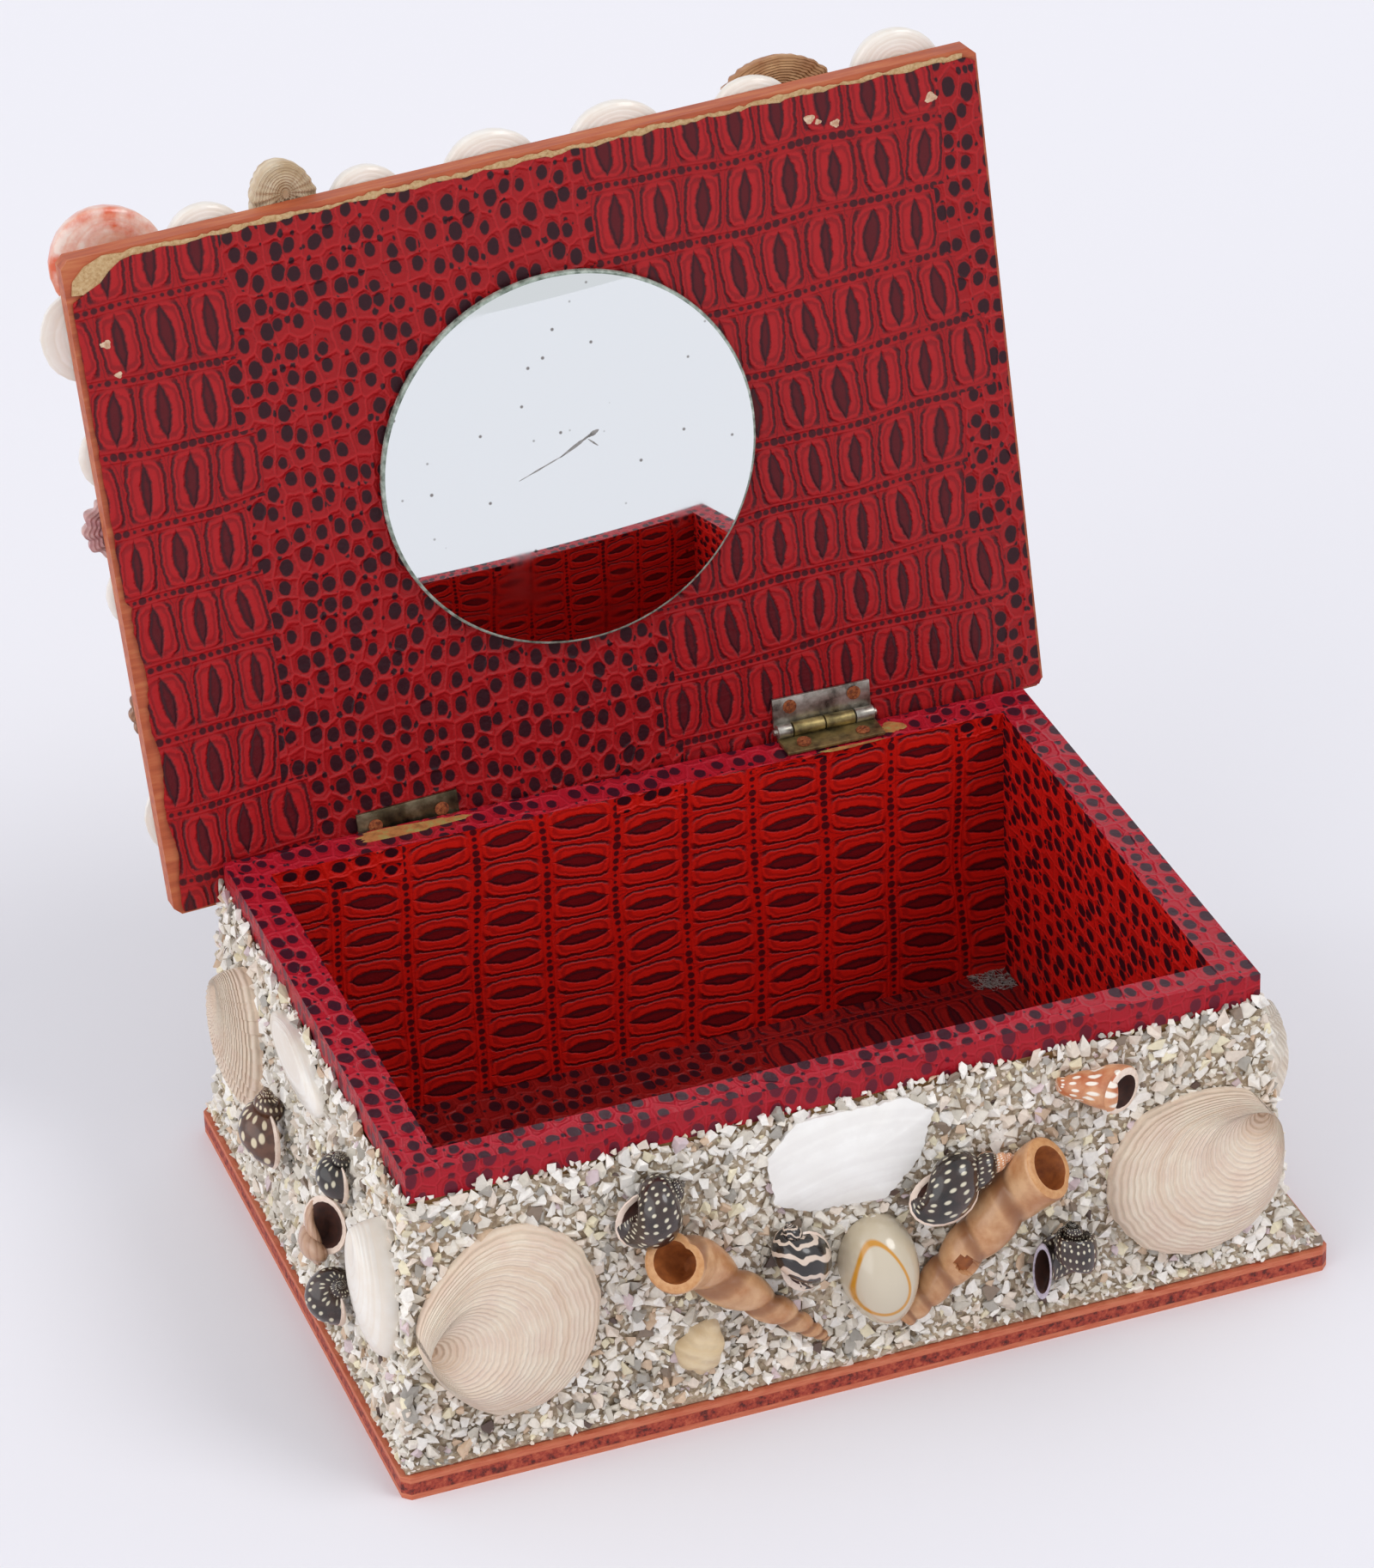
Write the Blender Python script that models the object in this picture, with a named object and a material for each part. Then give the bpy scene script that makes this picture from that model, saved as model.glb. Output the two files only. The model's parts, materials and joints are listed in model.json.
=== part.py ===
"""Shell box: a small hinged wooden box on a plywood base, lined with embossed paper and covered with shells.

Metres, +Z up, front towards -Y. The origin is the centre of the base board's underside.
The lid stands open, as the box is usually shown, and leans back against the rear wall.
"""

import math
from math import cos, pi, radians, sin

import bmesh
import bpy
from mathutils import Matrix, Vector

MM = 0.001

# Gap left between two pieces that touch.
FIT = 0.3 * MM

# Base board.
BASE_WIDTH = 201.7 * MM
BASE_DEPTH = 142.0 * MM
BASE_THICKNESS = 5.3 * MM
BASE_CORNER = 1.6 * MM

# Box: the outside of its four walls, and where its centre stands on the base.
BOX_WIDTH = 180.0 * MM
BOX_DEPTH = 123.6 * MM
RIM_HEIGHT = 71.6 * MM
BOX_SHIFT = Vector((-3.3 * MM, -1.5 * MM, 0.0))
SIDE_WALL = 6.6 * MM
FRONT_WALL = 5.5 * MM
BACK_WALL = 7.8 * MM

# Embossed paper: its thickness, and how far it turns down over the outside of the front rim.
PAPER = 0.4 * MM
PAPER_TURN_DOWN = 6.0 * MM

# Crushed shell coat, glued to the walls and to the ledge of the base.
COAT_TOP = 1.2 * MM
COAT_FOOT = 5.5 * MM
COAT_LEDGE = 2.3 * MM
COAT_EDGE_MARGIN = 1.1 * MM
COAT_BELOW_RIM = 6.2 * MM
COAT_BELOW_RIM_BACK = 14.0 * MM
COAT_ROUGHNESS = 0.7 * MM
COAT_STATION = 11.0 * MM

# Lid.
LID_WIDTH = 198.6 * MM
LID_LENGTH = 147.4 * MM
LID_THICKNESS = 4.8 * MM
LID_BEHIND_HINGE = 8.4 * MM
LID_SHIFT = -2.9 * MM
LID_OPEN = 97.0
LID_SKEW = 2.7
LID_BED = 1.4 * MM
LID_BED_MARGIN = 4.0 * MM
LID_TORN_STRIP = 1.2 * MM
LID_TORN_CORNER = 13.0 * MM

# Mirror.
MIRROR_RADIUS = 41.2 * MM
MIRROR_THICKNESS = 2.0 * MM
MIRROR_HEIGHT = 71.8 * MM
MIRROR_SHIFT = -0.6 * MM

# Butt hinges. The right one is whole. The left one has lost its leaf on the rim, and its leaf on the
# lid has dropped behind the rim, which is why the lid sags to the left.
HINGE_WIDTH = 22.5 * MM
HINGE_LEAF = 0.8 * MM
HINGE_LEAF_LENGTH = 5.2 * MM
HINGE_BARREL = 1.6 * MM
HINGE_PIN = 0.7 * MM
HINGE_RIGHT = 44.6 * MM
HINGE_LEFT = -46.6 * MM
HINGE_LEFT_LENGTH = 7.4 * MM
HINGE_LEFT_TOP = 4.2 * MM
# The knuckles from left to right: each one's share of the barrel, and the leaf that it belongs to.
HINGE_KNUCKLES = ((0.16, "lid"), (0.33, "box"), (0.31, "box"), (0.20, "lid"))

# Worked out from the values above.
INNER_WIDTH = BOX_WIDTH - 2 * SIDE_WALL
AXIS_OFF_WOOD = PAPER + 2 * FIT + HINGE_LEAF / 2 + HINGE_BARREL
AXIS_HEIGHT = RIM_HEIGHT + AXIS_OFF_WOOD
BACK_FACE = BOX_SHIFT.y + BOX_DEPTH / 2
LID_LEAN = radians(LID_OPEN - 90.0)
# The lowest corner of the lid hangs this far below the axis, and it is what meets the rear wall.
LID_DROP = LID_BEHIND_HINGE + LID_WIDTH / 2 * math.tan(radians(LID_SKEW))
AXIS_Y = BACK_FACE + FIT + LID_DROP * sin(LID_LEAN) - AXIS_OFF_WOOD + PAPER + FIT

WOOD = (0.62, 0.36, 0.20, 1.0)
STAINED_WOOD = (0.60, 0.21, 0.12, 1.0)
RED_PAPER = (0.42, 0.02, 0.025, 1.0)
WHITE_SHELL = (0.86, 0.83, 0.77, 1.0)
CREAM_SHELL = (0.83, 0.74, 0.62, 1.0)
PEACH_SHELL = (0.82, 0.52, 0.38, 1.0)
TAN_SHELL = (0.62, 0.38, 0.20, 1.0)
DARK_SHELL = (0.06, 0.05, 0.05, 1.0)
CRUSHED_SHELL = (0.66, 0.64, 0.60, 1.0)
OLD_BRASS = (0.45, 0.38, 0.24, 1.0)
MIRROR_GLASS = (0.80, 0.83, 0.82, 1.0)


def material(name, color, roughness, metallic=0.0):
    """Returns the named Principled material, made at its first use."""
    found = bpy.data.materials.get(name)
    if found:
        return found
    made = bpy.data.materials.new(name)
    made.use_nodes = True
    shader = made.node_tree.nodes["Principled BSDF"]
    shader.inputs["Base Color"].default_value = color
    shader.inputs["Roughness"].default_value = roughness
    shader.inputs["Metallic"].default_value = metallic
    return made


def add_object(name, bm, look, place=None, smooth=None):
    """Turns a bmesh into a named object, with its own material, placed by a matrix."""
    bmesh.ops.recalc_face_normals(bm, faces=bm.faces)
    mesh = bpy.data.meshes.new(name)
    bm.to_mesh(mesh)
    bm.free()
    mesh.materials.append(look)
    if smooth is not None:
        mesh.shade_smooth()
        mesh.set_sharp_from_angle(angle=radians(smooth))
    obj = bpy.data.objects.new(name, mesh)
    bpy.context.scene.collection.objects.link(obj)
    if place is not None:
        obj.matrix_world = place
    return obj


def grid_solid(rings, bottom=None, top=None):
    """Skins a list of rings of equal length, and closes each end with a fan to a point or a flat face."""
    bm = bmesh.new()
    rows = [[bm.verts.new(p) for p in ring] for ring in rings]
    count = len(rows[0])
    for low, high in zip(rows, rows[1:]):
        for i in range(count):
            j = (i + 1) % count
            bm.faces.new((low[i], low[j], high[j], high[i]))
    for row, point in ((rows[0], bottom), (rows[-1], top)):
        if point is None:
            bm.faces.new(row)
            continue
        tip = bm.verts.new(point)
        for i in range(count):
            bm.faces.new((row[i], row[(i + 1) % count], tip))
    return bm


def block(size, centre):
    """A plain board of the given size about its centre."""
    bm = bmesh.new()
    bmesh.ops.create_cube(bm, size=1.0)
    bmesh.ops.scale(bm, vec=size, verts=bm.verts)
    bmesh.ops.translate(bm, vec=centre, verts=bm.verts)
    return bm


def cylinder_x(radius, x_from, x_to, y, z, sides=12):
    """A round bar along X."""
    rings = []
    for x in (x_from, x_to):
        turns = [2 * pi * (i + 0.5) / sides for i in range(sides)]
        rings.append([(x, y + radius * cos(t), z + radius * sin(t)) for t in turns])
    return grid_solid(rings)


def join(name, solids, look, smooth=None):
    """Makes one body of overlapping solids by Boolean union."""
    body = add_object(name, solids[0], look, smooth=smooth)
    for number, solid in enumerate(solids[1:], 1):
        other = add_object(f"{name}_joined_{number}", solid, look)
        other.hide_render = True
        other.display_type = "WIRE"
        union = body.modifiers.new(f"union {number}", "BOOLEAN")
        union.operation = "UNION"
        union.object = other
    return body


def rect(x_from, x_to, y_from, y_to, z):
    """The corners of a level rectangle, counterclockwise from the front left."""
    return [(x_from, y_from, z), (x_to, y_from, z), (x_to, y_to, z), (x_from, y_to, z)]


def outer_rect(grow, z):
    """The outline of the walls, grown sideways."""
    half_x = BOX_WIDTH / 2 + grow
    half_y = BOX_DEPTH / 2 + grow
    cx, cy = BOX_SHIFT.x, BOX_SHIFT.y
    return rect(cx - half_x, cx + half_x, cy - half_y, cy + half_y, z)


def inner_rect(shrink, z):
    """The opening between the walls, shrunk sideways."""
    cx, cy = BOX_SHIFT.x, BOX_SHIFT.y
    return rect(
        cx - INNER_WIDTH / 2 + shrink,
        cx + INNER_WIDTH / 2 - shrink,
        cy - BOX_DEPTH / 2 + FRONT_WALL + shrink,
        cy + BOX_DEPTH / 2 - BACK_WALL - shrink,
        z,
    )


def make_base():
    """The plywood base, with its four corners cut off by wear."""
    x, y, c = BASE_WIDTH / 2, BASE_DEPTH / 2, BASE_CORNER
    outline = [(-x + c, -y), (x - c, -y), (x, -y + c), (x, y - c), (x - c, y), (-x + c, y), (-x, y - c), (-x, -y + c)]
    rings = [[(px, py, z) for px, py in outline] for z in (0.0, BASE_THICKNESS)]
    add_object("base_board", grid_solid(rings), material("stained plywood", STAINED_WOOD, 0.6))


def make_walls():
    """Four boards: the side walls stand between the front and the back ones."""
    wood = material("wood", WOOD, 0.7)
    foot = BASE_THICKNESS + FIT
    height = RIM_HEIGHT - foot
    mid = foot + height / 2
    centre = BOX_SHIFT
    front_y = -BOX_DEPTH / 2 + FRONT_WALL / 2
    back_y = BOX_DEPTH / 2 - BACK_WALL / 2
    side_depth = BOX_DEPTH - FRONT_WALL - BACK_WALL - 2 * FIT
    side_y = (FRONT_WALL - BACK_WALL) / 2
    side_x = BOX_WIDTH / 2 - SIDE_WALL / 2
    boards = {
        "front_wall": ((BOX_WIDTH, FRONT_WALL, height), (0, front_y, mid)),
        "back_wall": ((BOX_WIDTH, BACK_WALL, height), (0, back_y, mid)),
        "left_wall": ((SIDE_WALL, side_depth, height), (-side_x, side_y, mid)),
        "right_wall": ((SIDE_WALL, side_depth, height), (side_x, side_y, mid)),
    }
    for name, (size, place) in boards.items():
        add_object(name, block(size, centre + Vector(place)), wood)


def make_lining():
    """Paper over the floor and the inside of the walls, over the rim, and down the front and sides.

    It ends at the rear edge of the rim, where the lid comes past.
    """
    low = RIM_HEIGHT - PAPER_TURN_DOWN

    def folded(gap):
        over = outer_rect(gap, RIM_HEIGHT + gap)
        turned = outer_rect(gap, low)
        for ring in (over, turned):
            for corner in (2, 3):
                ring[corner] = (ring[corner][0], BACK_FACE - FIT, ring[corner][2])
        return turned, over, inner_rect(gap, RIM_HEIGHT + gap), inner_rect(gap, BASE_THICKNESS + gap)

    outside, inside = folded(FIT + PAPER), folded(FIT)
    # On the rear edge the paper stops level with the rim's top, so its band there has no height.
    bm = bmesh.new()
    shown = [[bm.verts.new(p) for p in ring] for ring in outside]
    glued = [[bm.verts.new(p) for p in ring] for ring in inside]
    for rows in (shown, glued):
        for a, b in zip(rows, rows[1:]):
            for i in range(4):
                if i == 2 and a is rows[0]:
                    continue
                bm.faces.new((a[i], a[(i + 1) % 4], b[(i + 1) % 4], b[i]))
        bm.faces.new(rows[-1])
    for i in (3, 0, 1):
        bm.faces.new((shown[0][i], shown[0][(i + 1) % 4], glued[0][(i + 1) % 4], glued[0][i]))
    # The cut edge along the rear, and down the two short ends of the turned band.
    bm.faces.new((shown[1][2], shown[1][3], glued[1][3], glued[1][2]))
    for i in (2, 3):
        bm.faces.new((shown[0][i], shown[1][i], glued[1][i], glued[0][i]))
    add_object("lining_paper", bm, material("embossed red paper", RED_PAPER, 0.4))


def coat_stations():
    """Points around the walls, as (x, y, outward normal), with the corners among them."""
    half = (BOX_WIDTH / 2, BOX_DEPTH / 2)
    corners = [(-half[0], -half[1]), (half[0], -half[1]), (half[0], half[1]), (-half[0], half[1])]
    normals = [(0, -1), (1, 0), (0, 1), (-1, 0)]
    stations = []
    for side in range(4):
        (x0, y0), (x1, y1) = corners[side], corners[(side + 1) % 4]
        before, normal = normals[side - 1], normals[side]
        stations.append((x0, y0, (before[0] + normal[0], before[1] + normal[1])))
        steps = max(2, round(math.hypot(x1 - x0, y1 - y0) / COAT_STATION))
        for i in range(1, steps):
            t = i / steps
            stations.append((x0 + (x1 - x0) * t, y0 + (y1 - y0) * t, normal))
    return stations


def coat_offset(height):
    """How far the face of the coat stands off the wall at a height: a plane that leans back."""
    foot, top = BASE_THICKNESS + COAT_LEDGE, RIM_HEIGHT - COAT_BELOW_RIM
    return COAT_FOOT + (COAT_TOP - COAT_FOOT) * (height - foot) / (top - foot)


def make_coat():
    """The crushed shell coat: one ring round the walls that runs out over the ledge of the base."""
    foot = BASE_THICKNESS + COAT_LEDGE
    rings = []
    for number, (x, y, normal) in enumerate(coat_stations()):
        wall = Vector((x, y, 0)) + BOX_SHIFT
        out = Vector((normal[0], normal[1], 0))
        rear = normal[1] > 0
        drop = COAT_BELOW_RIM_BACK if rear else COAT_BELOW_RIM + 1.5 * MM * sin(number * 1.7) ** 2
        top = RIM_HEIGHT - drop
        grain = COAT_ROUGHNESS * (0.5 + 0.5 * sin(number * 2.3))
        edge = Vector(
            (
                (BASE_WIDTH / 2 - COAT_EDGE_MARGIN) * x / (BOX_WIDTH / 2),
                (BASE_DEPTH / 2 - COAT_EDGE_MARGIN) * y / (BOX_DEPTH / 2),
                BASE_THICKNESS + COAT_LEDGE - COAT_ROUGHNESS,
            )
        )
        # The paper's band stands off the wall, so the top of the coat starts clear of it.
        profile = [
            wall + out * FIT + Vector((0, 0, BASE_THICKNESS + FIT)),
            wall + out * FIT + Vector((0, 0, top - 1.0 * MM)),
            wall + out * COAT_TOP + Vector((0, 0, top)),
        ]
        for share in (0.72, 0.45, 0.2):
            height = foot + (top - foot) * share
            profile.append(wall + out * (coat_offset(height) - grain * (1 - share)) + Vector((0, 0, height)))
        profile.append(wall + out * (COAT_FOOT - grain) + Vector((0, 0, foot)))
        profile.append(edge)
        profile.append(Vector((edge.x, edge.y, BASE_THICKNESS + FIT)))
        rings.append(profile)
    # The skin runs along the profile, so a ring here is one line of points round the box.
    bm = bmesh.new()
    rows = [[bm.verts.new(p) for p in profile] for profile in rings]
    for i, row in enumerate(rows):
        after = rows[(i + 1) % len(rows)]
        for j in range(len(row)):
            k = (j + 1) % len(row)
            bm.faces.new((row[j], after[j], after[k], row[k]))
    add_object("crushed_shell_coat", bm, material("crushed shell", CRUSHED_SHELL, 0.7))


def face_frame(side):
    """Axes of a wall's coat: right as seen from outside, up along its slope, and outward."""
    outward = {"front": (0, -1), "back": (0, 1), "left": (-1, 0), "right": (1, 0)}[side]
    out = Vector((outward[0], outward[1], 0))
    right = Vector((0, 0, 1)).cross(out)
    rise = RIM_HEIGHT - COAT_BELOW_RIM - BASE_THICKNESS - COAT_LEDGE
    lean = math.atan2(COAT_FOOT - COAT_TOP, rise)
    up = Vector((0, 0, cos(lean))) - out * sin(lean)
    normal = right.cross(up)
    return right, up, normal, out


def on_wall(side, along, height, turn, lift=0.0):
    """The matrix that seats a shell on a wall's coat.

    along is measured from the middle of the wall, to the right as seen from outside, height from the
    ground, and turn anticlockwise from upright. A shell's back lies on its own XY plane.
    """
    right, up, normal, out = face_frame(side)
    half = BOX_DEPTH / 2 if side in ("front", "back") else BOX_WIDTH / 2
    foot = BOX_SHIFT + out * (half + coat_offset(height)) + Vector((0, 0, height))
    seat = foot + right * along + normal * (FIT + lift)
    turned_right = right * cos(turn) + up * sin(turn)
    turned_up = up * cos(turn) - right * sin(turn)
    return frame_matrix(turned_right, turned_up, normal, seat)


def frame_matrix(x_axis, y_axis, z_axis, origin):
    """A placing matrix from three axes and an origin."""
    rows = [(x_axis[i], y_axis[i], z_axis[i], origin[i]) for i in range(3)]
    return Matrix((*rows, (0, 0, 0, 1)))


def valve(width, height, dome, beak=0.2, ribs=0, segments=18, rings=3):
    """One valve of a clam or cockle, hollow side down: its beak points along +Y."""
    rim = 0.5 * MM
    levels = []
    for ring in range(rings + 1):
        share = 1 - ring / (rings + 1)
        rise = dome * (1 - share**2.2) ** 0.75 if ring else 0.0
        points = []
        for i in range(segments):
            a = 2 * pi * i / segments
            fluted = 1 + (0.035 * cos(ribs * a) if ribs else 0.0)
            px = width / 2 * sin(a) * (1 - beak * cos(a)) * share * fluted
            py = height / 2 * cos(a) * share * fluted + beak * 1.4 * height / 2 * (1 - share)
            points.append((px, py, rim + (dome - rim) * rise / dome))
        levels.append(points)
    back = [(px, py, 0.0) for px, py, _ in levels[0]]
    crown = (0.0, beak * 1.4 * height / 2, dome)
    return grid_solid([back, *levels], None, crown)


def turned_shell(profile, sides, squash=1.0, lift=0.0):
    """A shell turned about +X from (distance, radius) pairs, with its lowest line on the XY plane."""
    widest = max(r for _, r in profile)
    rings = []
    for x, r in profile[1:-1]:
        turns = [2 * pi * (i + 0.5) / sides for i in range(sides)]
        rings.append([(x, r * cos(t), widest * squash + r * squash * sin(t) + lift) for t in turns])
    level = widest * squash + lift
    return grid_solid(rings, (profile[0][0], 0, level), (profile[-1][0], 0, level))


def spire(length, radius, whorls, hollow=0.0, sides=10, grow=1.0):
    """A long tower shell, mouth at the origin and tip at +X, with a bulge for each whorl."""
    profile = [(hollow, 0.0), (0.0, radius * 0.72)]
    for w in range(whorls):
        for part, bulge in ((0.4, 1.0), (0.96, 0.84)):
            t = (w + part) / whorls
            profile.append((length * t, radius * bulge * max(1 - t**grow, 0.04)))
    profile.append((length, 0.0))
    return turned_shell(profile, sides)


def snail(length, width, top=0.55, sides=10):
    """A short whorled snail, mouth end at the origin and point at +X."""
    r = width / 2
    steps = [(0.0, 0.0), (0.04, 0.42), (0.16, 0.8), (0.34, 1.0), (top, 0.86), (top + 0.04, 0.66)]
    steps += [(top + 0.2, 0.5), (top + 0.24, 0.34), (0.93, 0.16), (1.0, 0.0)]
    return turned_shell([(length * t, r * s) for t, s in steps], sides, squash=0.85)


def egg(width, height, depth, sides=14, rings=6):
    """An egg-shaped shell with a flat seat, broad end along +Y."""
    levels = []
    for ring in range(rings):
        a = pi / 2 * ring / rings
        share = cos(a)
        points = []
        for i in range(sides):
            t = 2 * pi * i / sides
            narrow = 1 - 0.12 * cos(t)
            points.append((width / 2 * share * sin(t) / narrow * 0.95, height / 2 * share * cos(t), depth * sin(a)))
        levels.append(points)
    return grid_solid(levels, None, (0, 0, depth))


def plate(outline, thickness, crown):
    """A broken piece of shell: an outline with a lower rim and a raised middle."""
    centre = Vector((sum(p[0] for p in outline), sum(p[1] for p in outline))) / len(outline)
    rim = [(x, y, thickness) for x, y in outline]
    inner = [(centre.x + (x - centre.x) * 0.6, centre.y + (y - centre.y) * 0.6, crown * 0.85) for x, y in outline]
    return grid_solid([[(x, y, 0.0) for x, y in outline], rim, inner], None, (centre.x, centre.y, crown))


def make_front_shells():
    """The group on the front: a clam at each side, and snails, towers, a fragment and a cowrie between."""
    cream = material("cream shell", CREAM_SHELL, 0.5)
    white = material("white shell", WHITE_SHELL, 0.35)
    tan = material("tan shell", TAN_SHELL, 0.4)
    dark = material("dark shell", DARK_SHELL, 0.35)

    def put(name, solid, look, x, height, turn=0.0, lift=0.0):
        place = on_wall("front", x * MM - BOX_SHIFT.x, height * MM, radians(turn), lift * MM)
        add_object(name, solid, look, place, smooth=40)

    put("clam_front_left", valve(42 * MM, 37 * MM, 11 * MM, beak=0.13, segments=20), cream, -75.7, 35.4, 93)
    put("clam_front_right", valve(37.5 * MM, 38 * MM, 11 * MM, beak=0.13, segments=20), cream, 72.6, 31.4, -38)
    broken = [(-16.5, -8.5), (-9, -12), (7.7, -13), (15.5, -5), (18.5, 4.5), (13, 9.3), (-11, 9.3), (-17.5, 2.5)]
    put("white_clam_fragment", plate([(x * MM, y * MM) for x, y in broken], 1.2 * MM, 3.6 * MM), white, -3.2, 55.2)
    put("cowrie", egg(17 * MM, 24.5 * MM, 11 * MM, sides=12, rings=5), white, 1.6, 26.6, 4)
    put("tower_shell_left", spire(45.5 * MM, 7.0 * MM, 7, hollow=3 * MM, grow=1.2), tan, -44.8, 41.9, -38)
    put("tower_shell_right", spire(43.5 * MM, 6.3 * MM, 7, hollow=3 * MM, grow=1.2), tan, 39.0, 44.8, 219.5)
    put("dotted_snail_upper_left", snail(17 * MM, 15 * MM), dark, -53.6, 50.6, 24)
    put("banded_snail", snail(17 * MM, 12.4 * MM), dark, -14.3, 27.0, 96)
    put("dotted_snail_middle", snail(24 * MM, 12.8 * MM, top=0.5), dark, 7.2, 42.0, 12)
    put("lilac_lipped_snail", snail(18.5 * MM, 13 * MM), dark, 40.2, 11.4, 88)
    put("spotted_cone_fragment", snail(13.5 * MM, 11 * MM, top=0.4), tan, 43.2, 58.4, -14)
    put("worn_pebble", egg(10.2 * MM, 11.6 * MM, 4.5 * MM, sides=9, rings=3), cream, -36.8, 18.0, -20)


def make_left_shells():
    """The group on the left wall; heights and places are those that show from the front left."""
    cream = material("cream shell", CREAM_SHELL, 0.5)
    white = material("white shell", WHITE_SHELL, 0.35)
    peach = material("peach shell", PEACH_SHELL, 0.5)
    tan = material("tan shell", TAN_SHELL, 0.4)
    dark = material("dark shell", DARK_SHELL, 0.35)

    def put(name, solid, look, y, height, turn=0.0, lift=0.0):
        place = on_wall("left", BOX_SHIFT.y - y * MM, height * MM, radians(turn), lift * MM)
        add_object(name, solid, look, place, smooth=40)

    put("cockle_left_rear", valve(25 * MM, 32 * MM, 7.5 * MM, ribs=8, segments=24), peach, 41.0, 41.5)
    put("clam_left_middle", valve(34 * MM, 14 * MM, 3 * MM, segments=14), white, 3.0, 58.0, -4)
    put("brown_snail_left", snail(18 * MM, 12.5 * MM), dark, 13.0, 27.4, 92)
    put("dotted_snail_left_upper", snail(12 * MM, 9 * MM, sides=8), dark, -30.0, 46.4, 75)
    put("moon_snail", egg(13.5 * MM, 15 * MM, 9 * MM, sides=12, rings=4), tan, -25.5, 36.2, 20)
    put("dotted_snail_left_lower", snail(14 * MM, 12 * MM), dark, -27.4, 20.0, 40)
    put("clam_left_front", valve(18 * MM, 31 * MM, 7 * MM, segments=16), cream, -53.5, 40.0, 4)


def make_plain_side_shells():
    """Fewer shells on the right wall and the back, which keep to the same kinds."""
    cream = material("cream shell", CREAM_SHELL, 0.5)
    white = material("white shell", WHITE_SHELL, 0.35)
    peach = material("peach shell", PEACH_SHELL, 0.5)

    def put(name, solid, look, side, along, height, turn=0.0):
        add_object(name, solid, look, on_wall(side, along * MM, height * MM, radians(turn)), smooth=40)

    put("cockle_right_front", valve(27 * MM, 26 * MM, 8.6 * MM, ribs=9, segments=27), cream, "right", -45.6, 41.0, 12)
    put("clam_right_middle", valve(30 * MM, 28 * MM, 8 * MM), white, "right", -4.0, 38.0, -8)
    put("cockle_right_rear", valve(29 * MM, 31 * MM, 9 * MM, ribs=9, segments=27), peach, "right", 38.0, 36.0)
    put("clam_back_left", valve(31 * MM, 28 * MM, 7 * MM), white, "back", 42.0, 32.0, 10)
    put("clam_back_right", valve(31 * MM, 28 * MM, 7 * MM), cream, "back", -42.0, 32.0, -10)


def lid_axes():
    """The open lid's axes: right, up along the lid, and outward from its inner face, with its origin.

    The origin is on the wood of the inner face, level with the hinge axis, at the box's middle.
    """
    lean = LID_LEAN
    up = Vector((0, sin(lean), cos(lean)))
    normal = Vector((0, -cos(lean), sin(lean)))
    right = Vector((1, 0, 0))
    skew = radians(LID_SKEW)
    turned_right = right * cos(skew) + up * sin(skew)
    turned_up = up * cos(skew) - right * sin(skew)
    origin = Vector((BOX_SHIFT.x + LID_SHIFT, AXIS_Y, AXIS_HEIGHT)) - normal * AXIS_OFF_WOOD
    return turned_right, turned_up, normal, origin


def on_lid(x=0.0, y=0.0, depth=0.0, turn=0.0, behind=False):
    """The matrix of a place on the lid: x along it, y up from the hinge, depth off its inner face."""
    right, up, normal, origin = lid_axes()
    place = origin + right * x + up * y + normal * depth
    if behind:
        right, normal = -right, -normal
    turned_right = right * cos(turn) + up * sin(turn)
    turned_up = up * cos(turn) - right * sin(turn)
    return frame_matrix(turned_right, turned_up, normal, place)


LID_TOP = LID_LENGTH - LID_BEHIND_HINGE


def make_lid_board():
    """The lid's plywood, with small worn corners."""
    x, c = LID_WIDTH / 2, BASE_CORNER
    low, high = -LID_BEHIND_HINGE, LID_TOP
    outline = [(-x + c, low), (x - c, low), (x, low + c), (x, high - c), (x - c, high), (-x + c, high), (-x, high - c), (-x, low + c)]
    rings = [[(px, py, z) for px, py in outline] for z in (-LID_THICKNESS, 0.0)]
    add_object("lid_board", grid_solid(rings), material("stained plywood", STAINED_WOOD, 0.6), on_lid())


def make_lid_lining():
    """Paper on the lid's inner face, torn short along the free edge and back from its left corner."""
    half = LID_WIDTH / 2 - 0.6 * MM
    low, high = -LID_BEHIND_HINGE + 0.6 * MM, LID_TOP - LID_TORN_STRIP
    outline = [(-half, low), (half, low), (half, high - 3 * MM), (half - 2.5 * MM, high)]
    steps = 14
    corner_x, corner_y = -half + LID_TORN_CORNER, high - LID_TORN_CORNER * 0.45
    for i in range(1, steps):
        x = half - 2.5 * MM - (half - 2.5 * MM - corner_x) * i / steps
        outline.append((x, high - LID_TORN_STRIP * (0.5 + 0.5 * sin(i * 2.1))))
    outline += [(corner_x, high - LID_TORN_STRIP), (corner_x - 6 * MM, corner_y), (-half, corner_y - 2 * MM)]
    rings = [[(x, y, z) for x, y in outline] for z in (FIT, FIT + PAPER)]
    add_object("lid_lining_paper", grid_solid(rings), material("embossed red paper", RED_PAPER, 0.4), on_lid())


def make_mirror():
    """A round glass mirror, glued to the lid's lining."""
    turns = [2 * pi * i / 40 for i in range(40)]
    low = 2 * FIT + PAPER
    rings = []
    for z, r in ((low, MIRROR_RADIUS), (low + MIRROR_THICKNESS, MIRROR_RADIUS)):
        rings.append([(r * cos(t), r * sin(t), z) for t in turns])
    place = on_lid(MIRROR_SHIFT, MIRROR_HEIGHT)
    add_object("mirror", grid_solid(rings), material("mirror glass", MIRROR_GLASS, 0.03, 1.0), place, smooth=40)


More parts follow.
